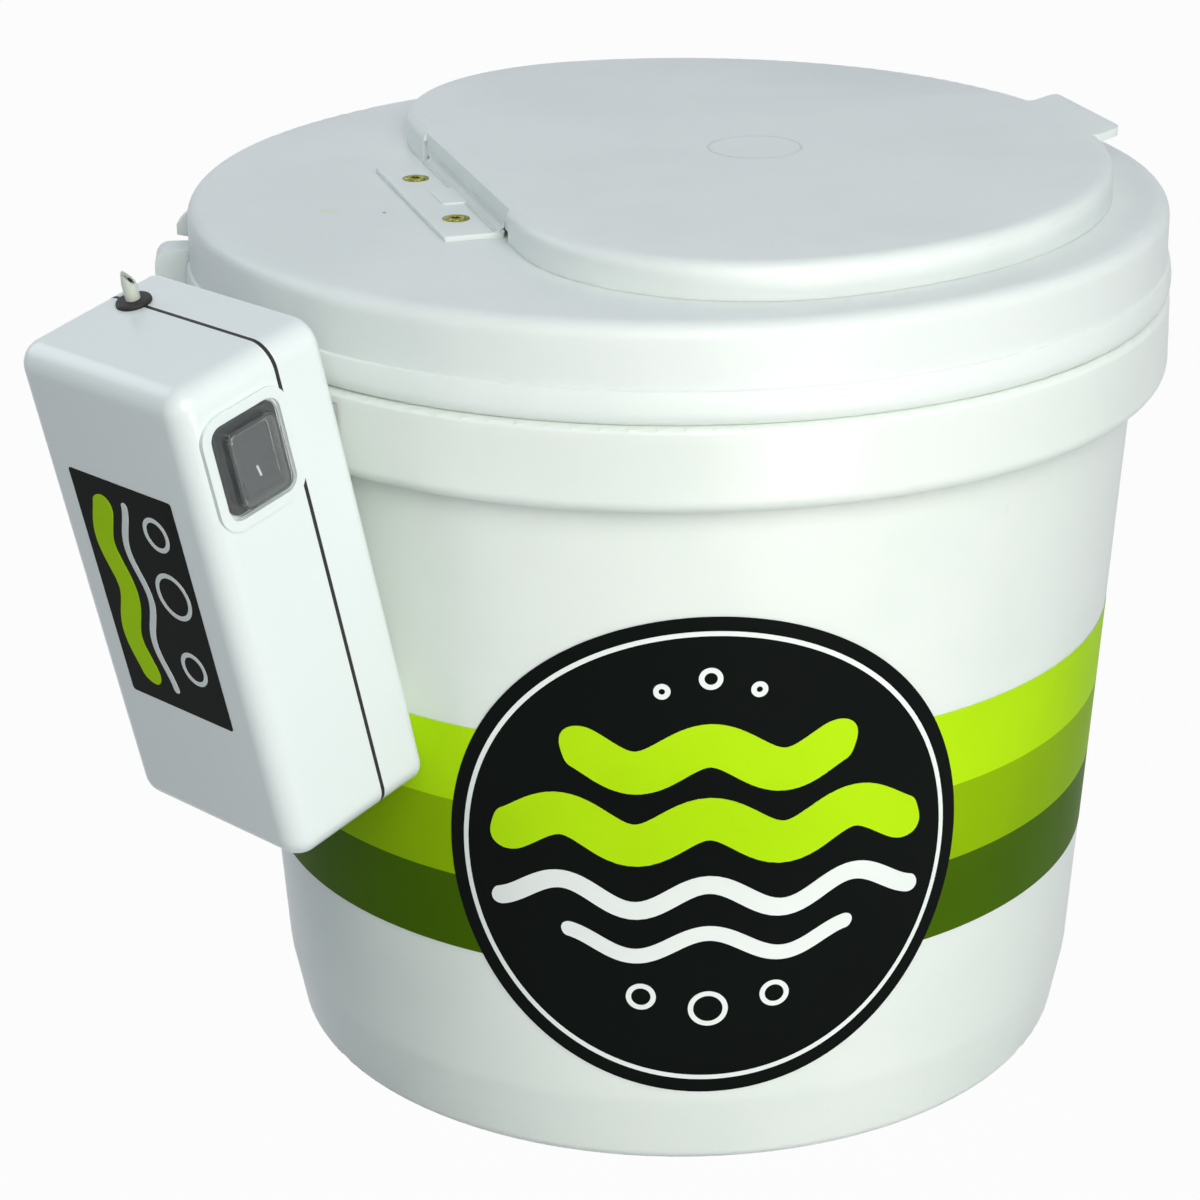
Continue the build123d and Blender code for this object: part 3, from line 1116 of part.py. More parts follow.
def make_pump_head():
    half_x = HEAD_SIZE[0] / 2
    half_y = HEAD_SIZE[1] / 2
    head = bar(CRANK_X - half_x, CRANK_X + half_x, CELL_Y - half_y, CELL_Y + half_y, SEAT_Z, HEAD_TOP)
    head = fillet(head.edges().filter_by(Axis.Z), HEAD_ROUND)
    head = fillet(head.faces().sort_by(Axis.Z)[-1].edges(), HEAD_EDGE)
    below = (CRANK_X, CELL_Y, SEAT_Z - PAST)
    head = head - rod(DIAPHRAGM_R + DIAPHRAGM_GAP, below, (CRANK_X, CELL_Y, HEAD_BOTTOM))
    head = head - rod(CHAMBER_R, below, (CRANK_X, CELL_Y, HEAD_BOTTOM + CHAMBER_HEIGHT))
    spigot_top = NIPPLE_LOW + SPIGOT_HEIGHT
    seat = (OUTLET_X, GASKET_Y, NIPPLE_LOW)
    head = head + rod(SPIGOT_R, (OUTLET_X, GASKET_Y, NIPPLE_LOW - PAST), (OUTLET_X, GASKET_Y, spigot_top))
    head = head - rod(NIPPLE_STEM_R, seat, (OUTLET_X, GASKET_Y, spigot_top + PAST))
    return pump_place() * head


# ================================================================ build
save(make_pail(), "pail")
save(make_liner(), "foam_liner")
save(make_lid(), "lid")
save(make_hatch(), "hatch")
save(make_leaf(), "hinge_leaf")
save(make_hinge_rivets(), "hinge_rivets")
save(make_bail_wire(), "bail_wire")
save(make_bail_grip(), "bail_grip")
save(make_bracket(), "pump_bracket")
save(make_bracket_rivets(), "bracket_rivets")
front_shell, back_shell, case_gasket = make_case()
save(front_shell, "pump_front_shell")
save(back_shell, "pump_back_shell")
save(case_gasket, "case_gasket")
save(make_screws(SCREW_SPOTS, -SCREW_HEAD, SCREW_LENGTH - SCREW_HEAD), "case_screws")
save(make_clip(), "pump_clip")
save(make_screws(CLIP_SCREW_SPOTS, CLIP_BASE, CLIP_SCREW_LENGTH), "clip_screws")
save(make_switch_housing(), "switch_housing")
save(make_rocker(), "switch_rocker")
save(make_cover(), "switch_cover")
save(make_grommet(), "outlet_grommet")
save(make_nipple(), "air_nipple")
for shape, name in zip(make_cells(), ("cell_left", "cell_right")):
    save(shape, name)
for shape, name in zip(make_contacts(), ("contact_bridge", "contact_plus", "contact_minus")):
    save(shape, name)
save(make_chassis(), "chassis")
save(make_motor(), "motor")
for shape, name in zip(make_crank(), ("motor_shaft", "eccentric")):
    save(shape, name)
save(make_drive_arm(), "drive_arm")
save(make_diaphragm(), "diaphragm")
save(make_pump_head(), "pump_head")
print("bail rest angle", round(bail_rest_angle(), 2), "degrees below level")
print("hinge line x", round(HINGE_X, 3), "z", round(HINGE_Z, 3))
print("ear z", round(EAR_Z, 3), "lid top", round(LID_TOP_Z, 3), "case height", round(CASE_HEIGHT, 3))
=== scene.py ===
# %% [markdown]
# # Aerated bait bucket
# A white moulded pail with a foam liner, a press-on lid with a flip-up hatch, a wire bail, and a
# battery air pump that hangs on its collar. The pieces already have their real size and place in
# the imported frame. This lesson gives them their surfaces, adds the printed films, the rolled
# rivets and the mould marks, and lights them.

# %% Load the frame
import json
import math

import bpy
from mathutils import Matrix, Vector

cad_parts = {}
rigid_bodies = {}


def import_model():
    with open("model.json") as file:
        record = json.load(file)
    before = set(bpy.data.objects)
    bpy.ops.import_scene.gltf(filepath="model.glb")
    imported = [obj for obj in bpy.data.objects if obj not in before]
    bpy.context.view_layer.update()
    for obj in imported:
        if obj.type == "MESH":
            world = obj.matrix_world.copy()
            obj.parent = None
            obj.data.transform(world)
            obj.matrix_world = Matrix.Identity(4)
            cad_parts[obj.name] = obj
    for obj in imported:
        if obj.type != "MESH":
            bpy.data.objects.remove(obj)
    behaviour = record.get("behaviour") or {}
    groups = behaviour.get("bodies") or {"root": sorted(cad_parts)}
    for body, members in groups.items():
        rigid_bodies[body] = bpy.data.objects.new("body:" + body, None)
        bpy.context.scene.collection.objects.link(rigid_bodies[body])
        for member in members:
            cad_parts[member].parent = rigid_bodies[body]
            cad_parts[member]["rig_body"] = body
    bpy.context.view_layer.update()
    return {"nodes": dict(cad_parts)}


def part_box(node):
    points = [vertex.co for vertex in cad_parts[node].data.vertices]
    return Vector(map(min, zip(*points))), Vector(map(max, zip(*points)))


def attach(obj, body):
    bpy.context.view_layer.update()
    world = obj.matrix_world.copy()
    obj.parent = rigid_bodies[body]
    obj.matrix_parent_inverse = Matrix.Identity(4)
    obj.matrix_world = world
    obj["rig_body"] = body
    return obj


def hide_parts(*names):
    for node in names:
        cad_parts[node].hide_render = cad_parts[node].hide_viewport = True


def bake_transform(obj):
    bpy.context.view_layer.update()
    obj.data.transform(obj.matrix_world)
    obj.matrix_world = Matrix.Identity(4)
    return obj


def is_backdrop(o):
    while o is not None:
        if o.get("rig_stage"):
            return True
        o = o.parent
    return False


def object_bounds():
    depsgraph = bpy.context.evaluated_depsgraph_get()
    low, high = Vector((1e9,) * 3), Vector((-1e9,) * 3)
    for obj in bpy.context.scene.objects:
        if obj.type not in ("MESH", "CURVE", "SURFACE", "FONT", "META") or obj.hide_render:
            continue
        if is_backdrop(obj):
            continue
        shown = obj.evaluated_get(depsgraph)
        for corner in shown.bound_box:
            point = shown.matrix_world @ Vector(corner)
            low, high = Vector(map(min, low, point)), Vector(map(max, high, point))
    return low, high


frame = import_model()
nodes = frame["nodes"]
MM = 0.001
print("nodes in the frame:", len(nodes))

# %% [markdown]
# ## Driving sizes
# The pail's wall is a cone, the pump's case stands on its own tilted axes, and the hinge has axes
# whose X points outwards. All three are needed wherever a film or a mark is laid on them, so
# their few numbers come first, in millimetres. Azimuth 0 is the front, and it grows towards +X.

# %% Sizes of the wall, the lid and the pump
CREASE_R = 130.7
CREASE_Z = 23.7
WALL_SLOPE = 0.0661
HINGE_AZIMUTH = -72.0
HINGE_X = 68.2
HINGE_Z = 277.0
LID_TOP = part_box("hinge_leaf")[0].z / MM
HATCH_TOP = 286.3
PUMP_AZIMUTH = -43.5
PUMP_TILT = 13.5
PUMP_BACK_R = 143.66
PUMP_BASE_Z = 130.5
CASE_WIDTH = 73.2
CASE_DEPTH = 50.7


def wall_radius(height):
    """Outer radius of the tapered wall at a height, in millimetres."""
    return CREASE_R + WALL_SLOPE * (height - CREASE_Z)


PUMP_AXES = (
    Matrix.Rotation(math.radians(PUMP_AZIMUTH), 4, "Z")
    @ Matrix.Translation(Vector((0, -PUMP_BACK_R, PUMP_BASE_Z)) * MM)
    @ Matrix.Rotation(math.radians(PUMP_TILT), 4, "X")
)
HINGE_AXES = Matrix.Rotation(math.radians(HINGE_AZIMUTH - 90), 4, "Z")
print("wall radius at the stripes:", round(wall_radius(107), 1), "mm")

# %% [markdown]
# ## Camera
# The photograph was taken from a metre away and a little above the lid, with a long lens. The
# camera is placed by its position and the three directions of its frame.

# %% Camera
CAMERA_PLACE = Vector((0.0, -0.996901, 0.530700))
CAMERA_RIGHT = Vector((0.99972541, 0.02178874, -0.00862313))
CAMERA_UP = Vector((-0.0000162262, 0.368633759, 0.929574715))
LENS_MM = 98.18

camera_data = bpy.data.cameras.new("camera")
camera_data.lens = LENS_MM
camera_data.sensor_width = 36.0
camera = bpy.data.objects.new("camera", camera_data)
bpy.context.scene.collection.objects.link(camera)
camera_back = CAMERA_RIGHT.cross(CAMERA_UP)
turn = Matrix((CAMERA_RIGHT, CAMERA_UP, camera_back)).transposed().to_4x4()
camera.matrix_world = Matrix.Translation(CAMERA_PLACE) @ turn
bpy.context.scene.camera = camera
bpy.context.scene.view_settings.view_transform = "Standard"
print("camera distance:", round(CAMERA_PLACE.length, 3), "m")

# %% [markdown]
# ## Floor, surroundings and lamps
# A white product on a white ground shows its form only through soft shade. The surroundings are
# dim and bluish, and brighter above and to the right. A large soft lamp stands at the front, a
# cool one at the left, and a small one lies low for the light that the table throws back. What
# the camera sees behind the object is plain white, which also shows in gloss and clear plastic.


# %% Helpers for node trees
def srgb(red, green, blue):
    """A colour read in 0-255 steps, as the linear values that Blender's sockets take."""
    linear = []
    for step in (red, green, blue):
        share = step / 255
        linear.append(share / 12.92 if share <= 0.04045 else ((share + 0.055) / 1.055) ** 2.4)
    return (*linear, 1.0)


def add(tree, kind, **values):
    """Adds a node, with its input sockets set by name."""
    node = tree.nodes.new(kind)
    for name, value in values.items():
        node.inputs[name.replace("_", " ")].default_value = value
    return node


def join(tree, output, target):
    """Links an output socket to an input socket."""
    tree.links.new(output, target)


def feed(tree, target, value):
    """Gives an input socket its value: a link where that is a socket, and else a number or colour."""
    if isinstance(value, bpy.types.NodeSocket):
        join(tree, value, target)
    else:
        target.default_value = value


def maths(tree, operation, first, second):
    """A Math node with two inputs. Returns its output."""
    node = tree.nodes.new("ShaderNodeMath")
    node.operation = operation
    feed(tree, node.inputs[0], first)
    feed(tree, node.inputs[1], second)
    return node.outputs[0]


def blend_colour(tree, share, first, second):
    """A Mix node for colours. Returns its output."""
    node = tree.nodes.new("ShaderNodeMix")
    node.data_type = "RGBA"
    feed(tree, node.inputs[0], share)
    feed(tree, node.inputs[6], first)
    feed(tree, node.inputs[7], second)
    return node.outputs[2]


def seen_directly(tree):
    """1 where the camera, a gloss or a clear piece looks, and 0 for the light that falls on things."""
    path = tree.nodes.new("ShaderNodeLightPath")
    seen = maths(tree, "MAXIMUM", path.outputs["Is Camera Ray"], path.outputs["Is Glossy Ray"])
    return maths(tree, "MAXIMUM", seen, path.outputs["Is Transmission Ray"])


# %% World
AMBIENT = 0.23
AMBIENT_SIDE = 0.13
AMBIENT_RISE = 0.16
AMBIENT_LOW = (0.74, 0.91, 1.0, 1.0)
AMBIENT_HIGH = (0.72, 0.79, 1.0, 1.0)

world = bpy.data.worlds.new("studio")
bpy.context.scene.world = world
world.use_nodes = True
tree = world.node_tree
tree.nodes.clear()
place = tree.nodes.new("ShaderNodeTexCoord")
split = tree.nodes.new("ShaderNodeSeparateXYZ")
join(tree, place.outputs["Generated"], split.inputs[0])
sideways = maths(tree, "MULTIPLY", split.outputs["X"], AMBIENT_SIDE)
upwards = maths(tree, "MAXIMUM", split.outputs["Z"], 0.0)
level = maths(tree, "ADD", sideways, maths(tree, "MULTIPLY", upwards, AMBIENT_RISE))
level = maths(tree, "ADD", level, AMBIENT)
soft = add(tree, "ShaderNodeBackground")
join(tree, blend_colour(tree, upwards, AMBIENT_LOW, AMBIENT_HIGH), soft.inputs["Color"])
join(tree, level, soft.inputs["Strength"])
white = add(tree, "ShaderNodeBackground", Color=(1, 1, 1, 1), Strength=1.0)
mix = tree.nodes.new("ShaderNodeMixShader")
join(tree, seen_directly(tree), mix.inputs[0])
join(tree, soft.outputs[0], mix.inputs[1])
join(tree, white.outputs[0], mix.inputs[2])
out = tree.nodes.new("ShaderNodeOutputWorld")
join(tree, mix.outputs[0], out.inputs[0])
print("world:", len(tree.nodes), "nodes")

# %% Floor
FLOOR_SIDE = 6.0
FLOOR_GLOW = 0.97
FLOOR_PAPER = (0.22, 0.25, 0.28, 1)
bpy.ops.object.select_all(action="DESELECT")
bpy.ops.mesh.primitive_plane_add(size=FLOOR_SIDE, location=(0, 0, 0))
floor = bpy.context.object
floor.name = "floor"
floor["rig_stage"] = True
floor_paint = bpy.data.materials.new("floor_paper")
floor_paint.use_nodes = True
tree = floor_paint.node_tree
tree.nodes.clear()
paper = add(tree, "ShaderNodeBsdfDiffuse", Color=FLOOR_PAPER)
glow = add(tree, "ShaderNodeEmission", Color=(1, 1, 1, 1), Strength=1.0)
mix = tree.nodes.new("ShaderNodeMixShader")
join(tree, maths(tree, "MULTIPLY", seen_directly(tree), FLOOR_GLOW), mix.inputs[0])
join(tree, paper.outputs[0], mix.inputs[1])
join(tree, glow.outputs[0], mix.inputs[2])
out = tree.nodes.new("ShaderNodeOutputMaterial")
join(tree, mix.outputs[0], out.inputs[0])
floor.data.materials.append(floor_paint)
print("floor:", FLOOR_SIDE, "m wide")

# %% Lamps
LAMP_AIM = (0, 0, 0.16)


def lamp(name, azimuth, height, distance, size, watts, colour=(1, 1, 1)):
    """A square soft lamp that faces the middle of the pail."""
    data = bpy.data.lights.new(name, "AREA")
    data.size = size
    data.energy = watts
    data.color = colour
    thing = bpy.data.objects.new(name, data)
    bpy.context.scene.collection.objects.link(thing)
    angle = math.radians(azimuth)
    thing.location = (distance * math.sin(angle), -distance * math.cos(angle), height)
    aim = Vector(LAMP_AIM) - thing.location
    thing.rotation_euler = aim.to_track_quat("-Z", "Y").to_euler()
    thing.visible_camera = False


lamp("key_lamp", azimuth=15, height=1.26, distance=1.9, size=1.3, watts=31, colour=(1.0, 1.0, 0.92))
lamp("side_lamp", azimuth=-112, height=1.1, distance=1.6, size=1.0, watts=7, colour=(0.84, 0.93, 1.0))
lamp("low_lamp", azimuth=24, height=0.06, distance=0.72, size=0.2, watts=1.6, colour=(1.0, 0.98, 0.92))

# %% [markdown]
# ## Surfaces
# Injection-moulded plastic is never one flat colour: the resin flows in broad, very faint
# clouds, the surface has a fine grain from the mould, and handling leaves small scuffs. One
# node group holds these three effects, and every plastic uses it with its own values.


# %% The moulded surface, as a node group
def new_group(name, inputs, outputs):
    """A shader node group. Inputs are (name, kind, value), and outputs are (name, kind)."""
    group = bpy.data.node_groups.new(name, "ShaderNodeTree")
    for label, kind, value in inputs:
        socket = group.interface.new_socket(label, in_out="INPUT", socket_type=kind)
        if value is not None:
            socket.default_value = value
    for label, kind in outputs:
        group.interface.new_socket(label, in_out="OUTPUT", socket_type=kind)
    start = group.nodes.new("NodeGroupInput")
    end = group.nodes.new("NodeGroupOutput")
    return group, start, end


def ramp(tree, value, low, high):
    """Stretches a value between two limits to 0-1, with soft ends. Returns its output."""
    node = tree.nodes.new("ShaderNodeMapRange")
    node.interpolation_type = "SMOOTHERSTEP"
    join(tree, value, node.inputs["Value"])
    node.inputs["From Min"].default_value = low
    node.inputs["From Max"].default_value = high
    return node.outputs["Result"]


def noise(tree, where, scale, detail=2.0):
    """A noise of a given scale, in lumps to the metre. Returns its output."""
    node = add(tree, "ShaderNodeTexNoise", Scale=scale, Detail=detail)
    join(tree, where, node.inputs["Vector"])
    return node.outputs["Fac"]


FLOAT = "NodeSocketFloat"
COLOUR = "NodeSocketColor"
VECTOR = "NodeSocketVector"
SCUFF_ROUGHNESS = 0.5
CLOUD_ROUGHNESS = 0.06
GRAIN_HEIGHT = 0.02

moulded, start, end = new_group(
    "moulded_surface",
    [("Resin", COLOUR, None), ("Shade", COLOUR, None), ("Roughness", FLOAT, 0.4), ("Cloud", FLOAT, 0.3),
     ("Grain", FLOAT, 0.1), ("Waviness", FLOAT, 0.1), ("Scuffs", FLOAT, 0.2)],
    [("Colour", COLOUR), ("Roughness", FLOAT), ("Normal", VECTOR)],
)
where = moulded.nodes.new("ShaderNodeTexCoord").outputs["Object"]
clouds = ramp(moulded, noise(moulded, where, scale=14, detail=3), low=0.35, high=0.72)
tone = blend_colour(moulded, maths(moulded, "MULTIPLY", clouds, start.outputs["Cloud"]),
                    start.outputs["Resin"], start.outputs["Shade"])
specks = ramp(moulded, noise(moulded, where, scale=260, detail=4), low=0.60, high=0.74)
patches = ramp(moulded, noise(moulded, where, scale=22, detail=2), low=0.52, high=0.70)
scuffs = maths(moulded, "MULTIPLY", maths(moulded, "MULTIPLY", specks, patches), start.outputs["Scuffs"])
tone = blend_colour(moulded, scuffs, tone, start.outputs["Shade"])
join(moulded, tone, end.inputs["Colour"])
dulled = maths(moulded, "MULTIPLY", scuffs, SCUFF_ROUGHNESS)
rough = maths(moulded, "ADD", start.outputs["Roughness"], dulled)
drift = maths(moulded, "MULTIPLY", maths(moulded, "SUBTRACT", clouds, 0.5), CLOUD_ROUGHNESS)
drift = maths(moulded, "MULTIPLY", drift, start.outputs["Cloud"])
join(moulded, maths(moulded, "ADD", rough, drift), end.inputs["Roughness"])
grain = maths(moulded, "MULTIPLY", noise(moulded, where, scale=1500), start.outputs["Grain"])
swells = maths(moulded, "MULTIPLY", noise(moulded, where, scale=24, detail=1), start.outputs["Waviness"])
height = maths(moulded, "ADD", maths(moulded, "MULTIPLY", grain, GRAIN_HEIGHT), swells)
bump = add(moulded, "ShaderNodeBump", Strength=1.0, Distance=0.001)
join(moulded, height, bump.inputs["Height"])
join(moulded, bump.outputs["Normal"], end.inputs["Normal"])
print("node group:", moulded.name, len(moulded.nodes), "nodes")


# %% Plastics
COAT_ROUGHNESS = 0.15
GLOW_RADIUS = (1.0, 1.0, 0.9)
GLOW_SCALE = 0.005


def plastic(name, resin, shade, roughness=0.4, cloud=0.4, grain=0.4, waviness=0.15, scuffs=0.3,
            coat=0.0, translucent=0.0, gloss=0.4):
    """A moulded plastic. Gloss is the shader's specular level, and translucent its subsurface weight."""
    paint = bpy.data.materials.new(name)
    paint.use_nodes = True
    tree = paint.node_tree
    shader = tree.nodes["Principled BSDF"]
    group = tree.nodes.new("ShaderNodeGroup")
    group.node_tree = moulded
    for label, value in (("Resin", resin), ("Shade", shade), ("Roughness", roughness), ("Cloud", cloud),
                         ("Grain", grain), ("Waviness", waviness), ("Scuffs", scuffs)):
        group.inputs[label].default_value = value
    join(tree, group.outputs["Colour"], shader.inputs["Base Color"])
    join(tree, group.outputs["Roughness"], shader.inputs["Roughness"])
    join(tree, group.outputs["Normal"], shader.inputs["Normal"])
    shader.inputs["Specular IOR Level"].default_value = gloss
    shader.inputs["Coat Weight"].default_value = coat
    shader.inputs["Coat Roughness"].default_value = COAT_ROUGHNESS
    if translucent:
        shader.inputs["Subsurface Weight"].default_value = translucent
        shader.inputs["Subsurface Radius"].default_value = GLOW_RADIUS
        shader.inputs["Subsurface Scale"].default_value = GLOW_SCALE
    return paint


pail_plastic = plastic("pail_polypropylene", srgb(240, 246, 239), srgb(231, 239, 231), roughness=0.36,
                       cloud=0.6, grain=0.5, waviness=0.5, translucent=0.35)
lid_plastic = plastic("lid_polypropylene", srgb(239, 244, 240), srgb(229, 236, 232), roughness=0.42,
                      cloud=0.6, grain=0.6, waviness=0.5, translucent=0.35)
case_plastic = plastic("case_styrene", srgb(233, 239, 238), srgb(226, 233, 232), roughness=0.28,
                       cloud=0.10, grain=0.2, waviness=0.03, scuffs=0.02, coat=0.25)
grip_plastic = plastic("grip_polythene", srgb(236, 240, 236), srgb(222, 228, 222), roughness=0.45)
black_plastic = plastic("switch_nylon", srgb(34, 35, 37), srgb(20, 20, 22), roughness=0.3,
                        cloud=0.5, grain=0.3, waviness=0.1)
chassis_plastic = plastic("chassis_nylon", srgb(44, 45, 46), srgb(30, 31, 32), roughness=0.5)
works_plastic = plastic("works_acetal", srgb(226, 224, 212), srgb(212, 209, 196), roughness=0.45)
black_rubber = plastic("seal_rubber", srgb(30, 31, 31), srgb(20, 21, 21), roughness=0.62,
                       cloud=0.6, grain=1.0, waviness=0.2)
nipple_plastic = plastic("nipple_polythene", srgb(226, 232, 214), srgb(214, 222, 196), roughness=0.34,
                         cloud=0.7, translucent=0.5)
print("plastics:", len(bpy.data.materials))

# %% [markdown]
# ## Metals
# The bail and bracket are zinc-plated steel, dull and faintly clouded. The hinge rivets are
# brass, with fine dark specks. All metals have one shader whose tone and roughness follow a noise.


# %% Metals
def metal(name, light, dark, roughness, scale=60, spread=0.18):
    """Metal with clouds of two tones. A larger scale makes them finer."""
    paint = bpy.data.materials.new(name)
    paint.use_nodes = True
    tree = paint.node_tree
    shader = tree.nodes["Principled BSDF"]
    shader.inputs["Metallic"].default_value = 1.0
    spot = tree.nodes.new("ShaderNodeTexCoord")
    mapping = add(tree, "ShaderNodeMapping", Scale=(scale, scale, scale))
    join(tree, spot.outputs["Object"], mapping.inputs["Vector"])
    tones = ramp(tree, noise(tree, mapping.outputs["Vector"], scale=8, detail=5), low=0.3, high=0.75)
    join(tree, blend_colour(tree, tones, light, dark), shader.inputs["Base Color"])
    rough = maths(tree, "ADD", maths(tree, "MULTIPLY", tones, spread), roughness)
    join(tree, rough, shader.inputs["Roughness"])
    bump = add(tree, "ShaderNodeBump", Strength=0.08, Distance=0.0001)
    join(tree, tones, bump.inputs["Height"])
    join(tree, bump.outputs["Normal"], shader.inputs["Normal"])
    return paint


zinc = metal("zinc_plate", srgb(196, 198, 198), srgb(176, 178, 179), roughness=0.3, scale=14, spread=0.08)
screw_steel = metal("screw_steel", srgb(188, 189, 190), srgb(140, 141, 142), roughness=0.25)
brass = metal("rivet_brass", srgb(168, 170, 74), srgb(58, 66, 12), roughness=0.30, scale=260)
nickel = metal("contact_nickel", srgb(206, 203, 196), srgb(170, 166, 158), roughness=0.2)
can_metal = metal("cell_can", srgb(120, 122, 124), srgb(84, 86, 88), roughness=0.3)
print("metals:", zinc.name, screw_steel.name, brass.name, nickel.name, can_metal.name)

# %% [markdown]
# ## Clear cover
# The soft cover over the switch is clear, a little milky, and smeared by fingers. So almost all
# of its light goes through, and a noise makes it now smoother and now duller.

# %% Clear plastic for the switch cover
CLEAR_ROUGHNESS = 0.02
SMEAR_ROUGHNESS = 0.06
clear_plastic = bpy.data.materials.new("cover_clear")
clear_plastic.use_nodes = True
tree = clear_plastic.node_tree
shader = tree.nodes["Principled BSDF"]
shader.inputs["Base Color"].default_value = srgb(238, 243, 243)
shader.inputs["Transmission Weight"].default_value = 0.96
shader.inputs["IOR"].default_value = 1.46
spot = tree.nodes.new("ShaderNodeTexCoord")
smear = ramp(tree, noise(tree, spot.outputs["Object"], scale=160, detail=3), low=0.3, high=0.8)
dulled = maths(tree, "MULTIPLY", smear, SMEAR_ROUGHNESS)
join(tree, maths(tree, "ADD", dulled, CLEAR_ROUGHNESS), shader.inputs["Roughness"])
bump = add(tree, "ShaderNodeBump", Strength=0.05, Distance=0.0002)
join(tree, smear, bump.inputs["Height"])
join(tree, bump.outputs["Normal"], shader.inputs["Normal"])
print("clear cover:", clear_plastic.name)

# %% [markdown]
# ## Foam liner
# Expanded foam is made of beads that have swollen against each other, so its skin shows small
# cells. A Voronoi texture has that pattern: it feeds the bump and a slight tone between cells.

# %% Bead foam
foam = bpy.data.materials.new("bead_foam")
foam.use_nodes = True
tree = foam.node_tree
shader = tree.nodes["Principled BSDF"]
shader.inputs["Roughness"].default_value = 0.75
spot = tree.nodes.new("ShaderNodeTexCoord")
beads = add(tree, "ShaderNodeTexVoronoi", Scale=320.0)
beads.feature = "DISTANCE_TO_EDGE"
join(tree, spot.outputs["Object"], beads.inputs["Vector"])
cells = ramp(tree, beads.outputs["Distance"], low=0.0, high=0.16)
join(tree, blend_colour(tree, cells, srgb(232, 234, 232), srgb(247, 248, 246)), shader.inputs["Base Color"])
bump = add(tree, "ShaderNodeBump", Strength=0.3, Distance=0.0002)
join(tree, cells, bump.inputs["Height"])
join(tree, bump.outputs["Normal"], shader.inputs["Normal"])
print("materials so far:", len(bpy.data.materials))

# %% [markdown]
# ## Moulded and pressed pieces
# The frame's meshes are exact but made of loose triangles, so light breaks along every facet.
# Each visible piece is copied, its doubled points are merged, and its faces are shaded smooth
# up to an angle. The copy then stands for the frame's piece.


# %% Smooth copies
SMOOTH_ANGLE = 35
FILM_ANGLE = 30
MERGE = 0.002 * MM
FLAT_ANGLE = 1
QUAD_ANGLE = 60


def only(piece):
    """Makes one object the selected and active one."""
    bpy.ops.object.select_all(action="DESELECT")
    piece.select_set(True)
    bpy.context.view_layer.objects.active = piece


def shade(piece, angle=SMOOTH_ANGLE):
    """Shades a piece smooth, apart from edges sharper than the angle."""
    only(piece)
    bpy.ops.object.shade_smooth_by_angle(angle=math.radians(angle))


def smooth_copy(node, name, paint):
    """A merged, smooth-shaded copy of a node of the frame, with its own finish."""
    source = nodes[node]
    piece = bpy.data.objects.new(name, source.data.copy())
    bpy.context.scene.collection.objects.link(piece)
    only(piece)
    bpy.ops.object.mode_set(mode="EDIT")
    bpy.ops.mesh.select_all(action="SELECT")
    bpy.ops.mesh.remove_doubles(threshold=MERGE)
    bpy.ops.mesh.tris_convert_to_quads(face_threshold=math.radians(FLAT_ANGLE),
                                       shape_threshold=math.radians(QUAD_ANGLE))
    bpy.ops.object.mode_set(mode="OBJECT")
    if piece.data.has_custom_normals:
        bpy.ops.mesh.customdata_custom_splitnormals_clear()
    shade(piece)
    piece.data.materials.clear()
    piece.data.materials.append(paint)
    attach(piece, source["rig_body"])
    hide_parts(node)
    return piece


DRESSED = [
    ("pail", "pail_shell", pail_plastic),
    ("foam_liner", "liner_foam", foam),
    ("lid", "lid_shell", lid_plastic),
    ("hatch", "hatch_cover", lid_plastic),
    ("hinge_leaf", "hinge_strip", lid_plastic),
    ("hinge_rivets", "hinge_rivet_pair", brass),
    ("bail_wire", "bail_rod", zinc),
    ("bail_grip", "bail_handle", grip_plastic),
    ("pump_bracket", "bracket_strip", zinc),
    ("bracket_rivets", "bracket_rivet_pair", zinc),
    ("pump_front_shell", "case_front", case_plastic),
    ("pump_back_shell", "case_back", case_plastic),
    ("pump_clip", "case_clip", case_plastic),
    ("case_gasket", "case_seal", black_rubber),
    ("case_screws", "case_screw_set", screw_steel),
    ("clip_screws", "clip_screw_pair", screw_steel),
    ("switch_housing", "switch_body", black_plastic),
    ("switch_cover", "switch_window", clear_plastic),
    ("switch_rocker", "rocker_key", black_plastic),
    ("outlet_grommet", "outlet_ring", black_rubber),
    ("air_nipple", "outlet_nipple", nipple_plastic),
    ("cell_left", "cell_can_left", can_metal),
    ("cell_right", "cell_can_right", can_metal),
    ("contact_bridge", "bridge_strip", nickel),
    ("contact_plus", "plus_strip", nickel),
    ("contact_minus", "minus_strip", nickel),
    ("chassis", "works_shelf", chassis_plastic),
    ("motor", "motor_can", screw_steel),
    ("motor_shaft", "motor_axle", screw_steel),
    ("eccentric", "crank_disc", brass),
    ("drive_arm", "crank_arm", works_plastic),
    ("diaphragm", "pump_diaphragm", black_rubber),
    ("pump_head", "pump_valve_head", works_plastic),
]
dressed = {}
for node, name, paint in DRESSED:
    dressed[node] = smooth_copy(node, name, paint)
print("dressed pieces:", len(dressed))

# %% [markdown]
# ## The lid's bead
# The skirt of a press-on lid ends in a bead that is rolled in at its lower edge, and there it sits
# on the pail's collar. The frame's bead is a plain band, so its copy is cut into thin rings with
# bisect, and each ring is moved to a rounded outline: level with the band in the middle, leaning
# in a little at its top, and rolled in below. The last step lets the lower edges of the lid and
# hatch down on what they close on.

